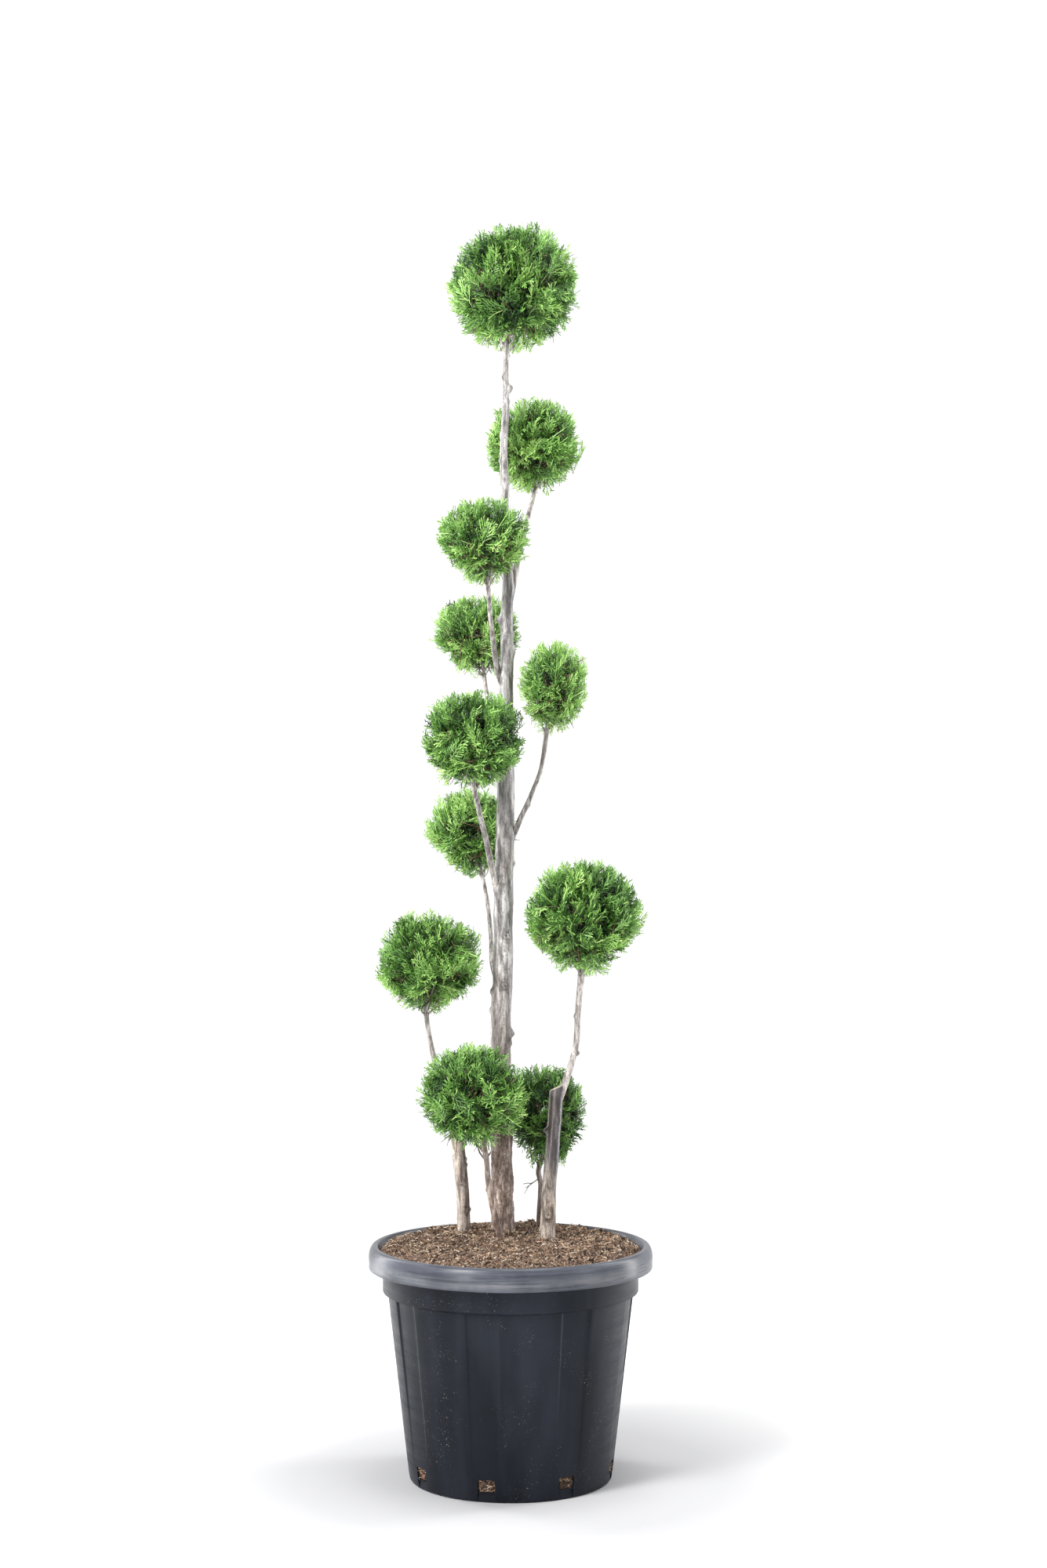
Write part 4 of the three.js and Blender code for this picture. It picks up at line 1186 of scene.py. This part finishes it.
# The soil: a closed plug with a rough top, and crumbs and fibres strewn over it
def soil_height(x, y):
    r = np.hypot(x, y) / MM
    base = SOIL_EDGE + SOIL_MOUND * (1 - np.clip(r / inner_radius(SOIL_EDGE), 0, 1) ** SOIL_POWER)
    places = np.stack([x, y, np.zeros_like(x)], -1)
    fade = np.clip((178 - r) / 12, 0, 1)
    relief = sum(high * rough(places, size, seed) for high, size, seed in SOIL_RELIEF)
    return (base + relief * fade) * MM


# Points of the soil's top at radii r, at turns from the pot's front
def on_soil(r, turn):
    x, y = r * np.sin(turn), -r * np.cos(turn)
    return np.stack([x, y, soil_height(x, y)], -1)


def around(r, turn, z):
    return np.stack(np.broadcast_arrays(r * np.sin(turn), -r * np.cos(turn), z), -1)


def dress_soil():
    rings, sides = 60, 168
    radii = np.linspace(0, 1, rings + 1)[1:] * (inner_radius(SOIL_EDGE) - SOIL_GAP) * MM
    angles = np.arange(sides) * 2 * math.pi / sides
    slot_top = SLOT_BOTTOM + SLOT_HEIGHT
    bottom = FLOOR_TOP + SOIL_GAP
    rows = [on_soil(radii[:, None], angles)]
    for z in (FLARE_BOTTOM, slot_top + 6, slot_top, SLOT_BOTTOM + 6, SLOT_BOTTOM, bottom):
        rows.append(around((inner_radius(z) - SOIL_GAP) * MM, angles, z * MM)[None])
    grid = np.concatenate(rows)
    centres = [[0, 0, soil_height(np.zeros(1), np.zeros(1))[0]], [0, 0, bottom * MM]]
    points = np.concatenate([grid.reshape(-1, 3), centres])
    # The rings go from the top down, so the faces turn the other way round.
    quads, top, under = ring_faces(len(grid), sides)
    groups = [quads[:, [0, 3, 2, 1]], np.concatenate([top[:, ::-1], under[:, [0, 2, 1]]])]
    add_piece("soil_bed", ["soil"], points, groups, [SOIL_BED], smooth=True)


OCTAHEDRON = np.array([[1, 0, 0], [-1, 0, 0], [0, 1, 0], [0, -1, 0], [0, 0, 1], [0, 0, -1]], float)
OCTAHEDRON_FACES = np.array(
    [[0, 2, 4], [2, 1, 4], [1, 3, 4], [3, 0, 4], [2, 0, 5], [1, 2, 5], [3, 1, 5], [0, 3, 5]]
)
TETRAHEDRON = np.array([[1, 1, 1], [-1, -1, 1], [-1, 1, -1], [1, -1, -1]], float) * 0.7
TETRAHEDRON_FACES = np.array([[0, 2, 1], [0, 1, 3], [0, 3, 2], [1, 2, 3]])


# Rotation matrices at random
def random_turns(count, rng):
    w, x, y, z = unit(rng.normal(size=(count, 4))).T
    rows = [
        [1 - 2 * (y * y + z * z), 2 * (x * y - z * w), 2 * (x * z + y * w)],
        [2 * (x * y + z * w), 1 - 2 * (x * x + z * z), 2 * (y * z - x * w)],
        [2 * (x * z - y * w), 2 * (y * z + x * w), 1 - 2 * (x * x + y * y)],
    ]
    return np.moveaxis(np.array(rows), 2, 0)


# Places on the soil's top, and after them some in the drain slots
def strewn_places(count, in_slots, rng):
    r = np.sqrt(rng.random(count)) * (inner_radius(SOIL_EDGE) - 4) * MM
    top = on_soil(r, rng.uniform(0, 2 * math.pi, count))
    z = rng.uniform(SLOT_BOTTOM + 1, SLOT_BOTTOM + SLOT_HEIGHT - 1, in_slots)
    r = np.array([inner_radius(height) for height in z]) + rng.uniform(-0.3, 1.2, in_slots)
    turn = rng.uniform(-0.5, 0.5, in_slots) * (SLOT_WIDTH - 3) / WALL_BOTTOM_RADIUS
    turn += SLOT_TURN + rng.integers(0, SLOTS, in_slots) * 2 * math.pi / SLOTS
    return np.concatenate([top, around(r, turn, z) * MM])


# Up to which random number a crumb is dark, brown or red, and else it's tan
CRUMB_KINDS = (0.3, 0.64, 0.87)
# Coarse crumbs with eight faces and fine ones with four: how many lie on top and in the slots, their
# middling size as a logarithm and their largest in millimetres, and their shape
CRUMB_SIZES = (
    (2600, 60, 0.5, 3.6, OCTAHEDRON, OCTAHEDRON_FACES),
    (10500, 500, 0.22, 2.2, TETRAHEDRON, TETRAHEDRON_FACES),
)


# Crumbs, darker and lighter in patches
def strew_crumbs():
    rng = np.random.default_rng(51)
    parts, numbers = [], []
    for on_top, in_slots, middling, largest, shape, faces in CRUMB_SIZES:
        count = on_top + in_slots
        size = np.clip(rng.lognormal(middling, 0.4, count), 0.7, largest) * MM
        stretch = rng.uniform((1.0, 0.45, 0.25), (2.1, 0.95, 0.6), (count, 1, 3))
        corners = stretch * shape[None] * rng.uniform(0.7, 1.3, (count, len(shape), 1))
        turned = np.einsum("nij,nkj->nki", random_turns(count, rng), corners * size[:, None, None])
        places = strewn_places(on_top, in_slots, rng)
        parts.append(((turned + places[:, None]).reshape(-1, 3), repeated(faces, count, len(shape))))
        kinds = np.searchsorted(CRUMB_KINDS, rng.random(count) + 0.3 * rough(places, 0.022, 58))
        numbers.append(kinds.repeat(len(faces)))
    points, faces = joined(parts)
    add_piece("soil_crumbs", ["soil"], points, [faces], CRUMBS, np.concatenate(numbers))


# Fibres with three sides that lie about and bow a little
def strew_fibres():
    rng = np.random.default_rng(52)
    on_top, in_slots = 2300, 120
    count = on_top + in_slots
    places = strewn_places(on_top, in_slots, rng)
    longest = np.where(np.arange(count) < on_top, 17, 7)
    length = np.clip(rng.lognormal(1.6, 0.5, count), 2, longest) * MM
    turn = rng.uniform(0, 2 * math.pi, count)
    tilt = rng.normal(0, 0.45, count)
    way = np.stack([np.cos(turn) * np.cos(tilt), np.sin(turn) * np.cos(tilt), np.sin(tilt)], -1)
    side = unit(np.cross(way, [0, 0, 1.0]))
    t = np.linspace(-0.5, 0.5, 4)
    bow = rng.normal(0, 0.18, count)
    paths = places[:, None] + way[:, None] * (t[None, :, None] * length[:, None, None])
    paths += side[:, None] * ((t**2)[None, :, None] * (bow * length)[:, None, None])
    paths[:on_top, :, 2] += 0.0012
    radii = rng.uniform(0.22, 0.6, (count, 1)) * MM * np.array([[0.6, 1, 1, 0.5]])
    points, quads, tris = tubes(paths, radii, 3)
    kinds = rng.choice(2, count, p=[0.55, 0.45])
    numbers = np.concatenate([kinds.repeat(len(faces) // count) for faces in (quads, tris)])
    add_piece("soil_fibres", ["soil"], points, [quads, tris], FIBRES, numbers)


# The stage: a floor that is pale grey round the pot, as painted shade round its foot, and fades to white; a
# studio that is white behind the plant and dimmer in front, soft lights and the camera
STUDIO_FRONT = 0.7
STUDIO_BACK = 1.08
STUDIO_ABOVE = 0.4  # of the light at eye level
FLOOR_RADIUS = 1.7
# Each light: where it stands, what it points at, how wide and high it is, and its power in watts
LIGHTS = {
    "key": ((-1.9, -2.0, 2.5), (0, 0, 1.0), (0.9, 1.6), 155),
    "top": ((0.3, -0.2, 3.4), (0, 0, 1.0), (1.6, 1.6), 80),
    "fill": ((2.35, -1.5, 1.0), (0, 0, 0.6), (0.7, 1.9), 6),
    "low": ((-1.55, -2.2, 0.4), (0, 0, 0.3), (0.3, 0.8), 16),
    "edge_left": ((-1.5, 0.9, 1.1), (0, 0, 0.9), (0.4, 2.4), 28),
    "edge_right": ((1.6, 0.55, 1.1), (0, 0, 0.9), (0.4, 2.4), 34),
}


def floor_material():
    material, tree, shader = new_material("floor", (0.6, 0.6, 0.61), 0.9)
    far = node(tree, "VectorMath", {0: place_node(tree)}, operation="LENGTH").outputs["Value"]
    # Darker near the pot: painted shade round its foot, fading out further away
    share = map_node(tree, far, 0.3, 1.2, 0, 1)
    colour = ramp_node(tree, share, [(0.0, (0.44, 0.44, 0.45)), (1.0, (0.95, 0.95, 0.95))])
    tree.links.new(colour, shader.inputs["Base Color"])
    return material


def build_stage():
    floor = bpy.data.meshes.new("floor")
    angles = [i * math.pi / 64 for i in range(128)]
    rim = [(FLOOR_RADIUS * math.cos(a), FLOOR_RADIUS * math.sin(a), 0) for a in angles]
    floor.from_pydata(rim, [], [list(range(len(rim)))])
    floor.materials.append(floor_material())
    piece = new_object("floor", floor)
    piece.location.z = -0.5 * MM


def build_studio():
    world = bpy.data.worlds.new("studio")
    world.use_nodes = True
    tree = world.node_tree
    background = tree.nodes["Background"]
    background.inputs["Color"].default_value = (1, 1, 1, 1)
    way = place_node(tree, "Generated")
    glow = map_node(tree, axis_node(tree, way, "Y"), -0.35, 0.45, STUDIO_FRONT, STUDIO_BACK)
    above = map_node(tree, axis_node(tree, way, "Z"), 0.3, 0.6, 1, STUDIO_ABOVE)
    tree.links.new(times_node(tree, glow, above), background.inputs["Strength"])
    bpy.context.scene.world = world


def area_light(name, at, target, size, power):
    light = bpy.data.lights.new(name, "AREA")
    light.shape = "RECTANGLE"
    light.size, light.size_y = size
    light.energy = power
    lamp = new_object(name, light)
    lamp.location = at
    lamp.rotation_mode = "QUATERNION"
    lamp.rotation_quaternion = (Vector(target) - Vector(at)).to_track_quat("-Z", "Y")


def build_camera():
    camera = bpy.data.cameras.new("camera")
    camera.sensor_width = SENSOR
    camera.lens = FOCAL_PIXELS / LONG_SIDE_PIXELS * SENSOR
    eye = new_object("camera", camera)
    eye.location = CAMERA_AT
    eye.rotation_euler = Euler((math.pi / 2, 0, 0))
    bpy.context.scene.camera = eye


build_camera()
build_stage()
build_studio()
for name, light in LIGHTS.items():
    area_light(name, *light)
bpy.context.scene.view_settings.view_transform = "Standard"

dress_dead_twig()
dress_pot()
dress_soil()
strew_crumbs()
strew_fibres()
for number, name in enumerate(ROUTES):
    bark_limb(name, number)
shape_rng = np.random.default_rng(11)
SHAPES = [spray_shape(shape_rng) for _ in range(SPRAY_SHAPES)]
for number, name in enumerate(BALLS):
    dress_ball(name, number, SHAPES)
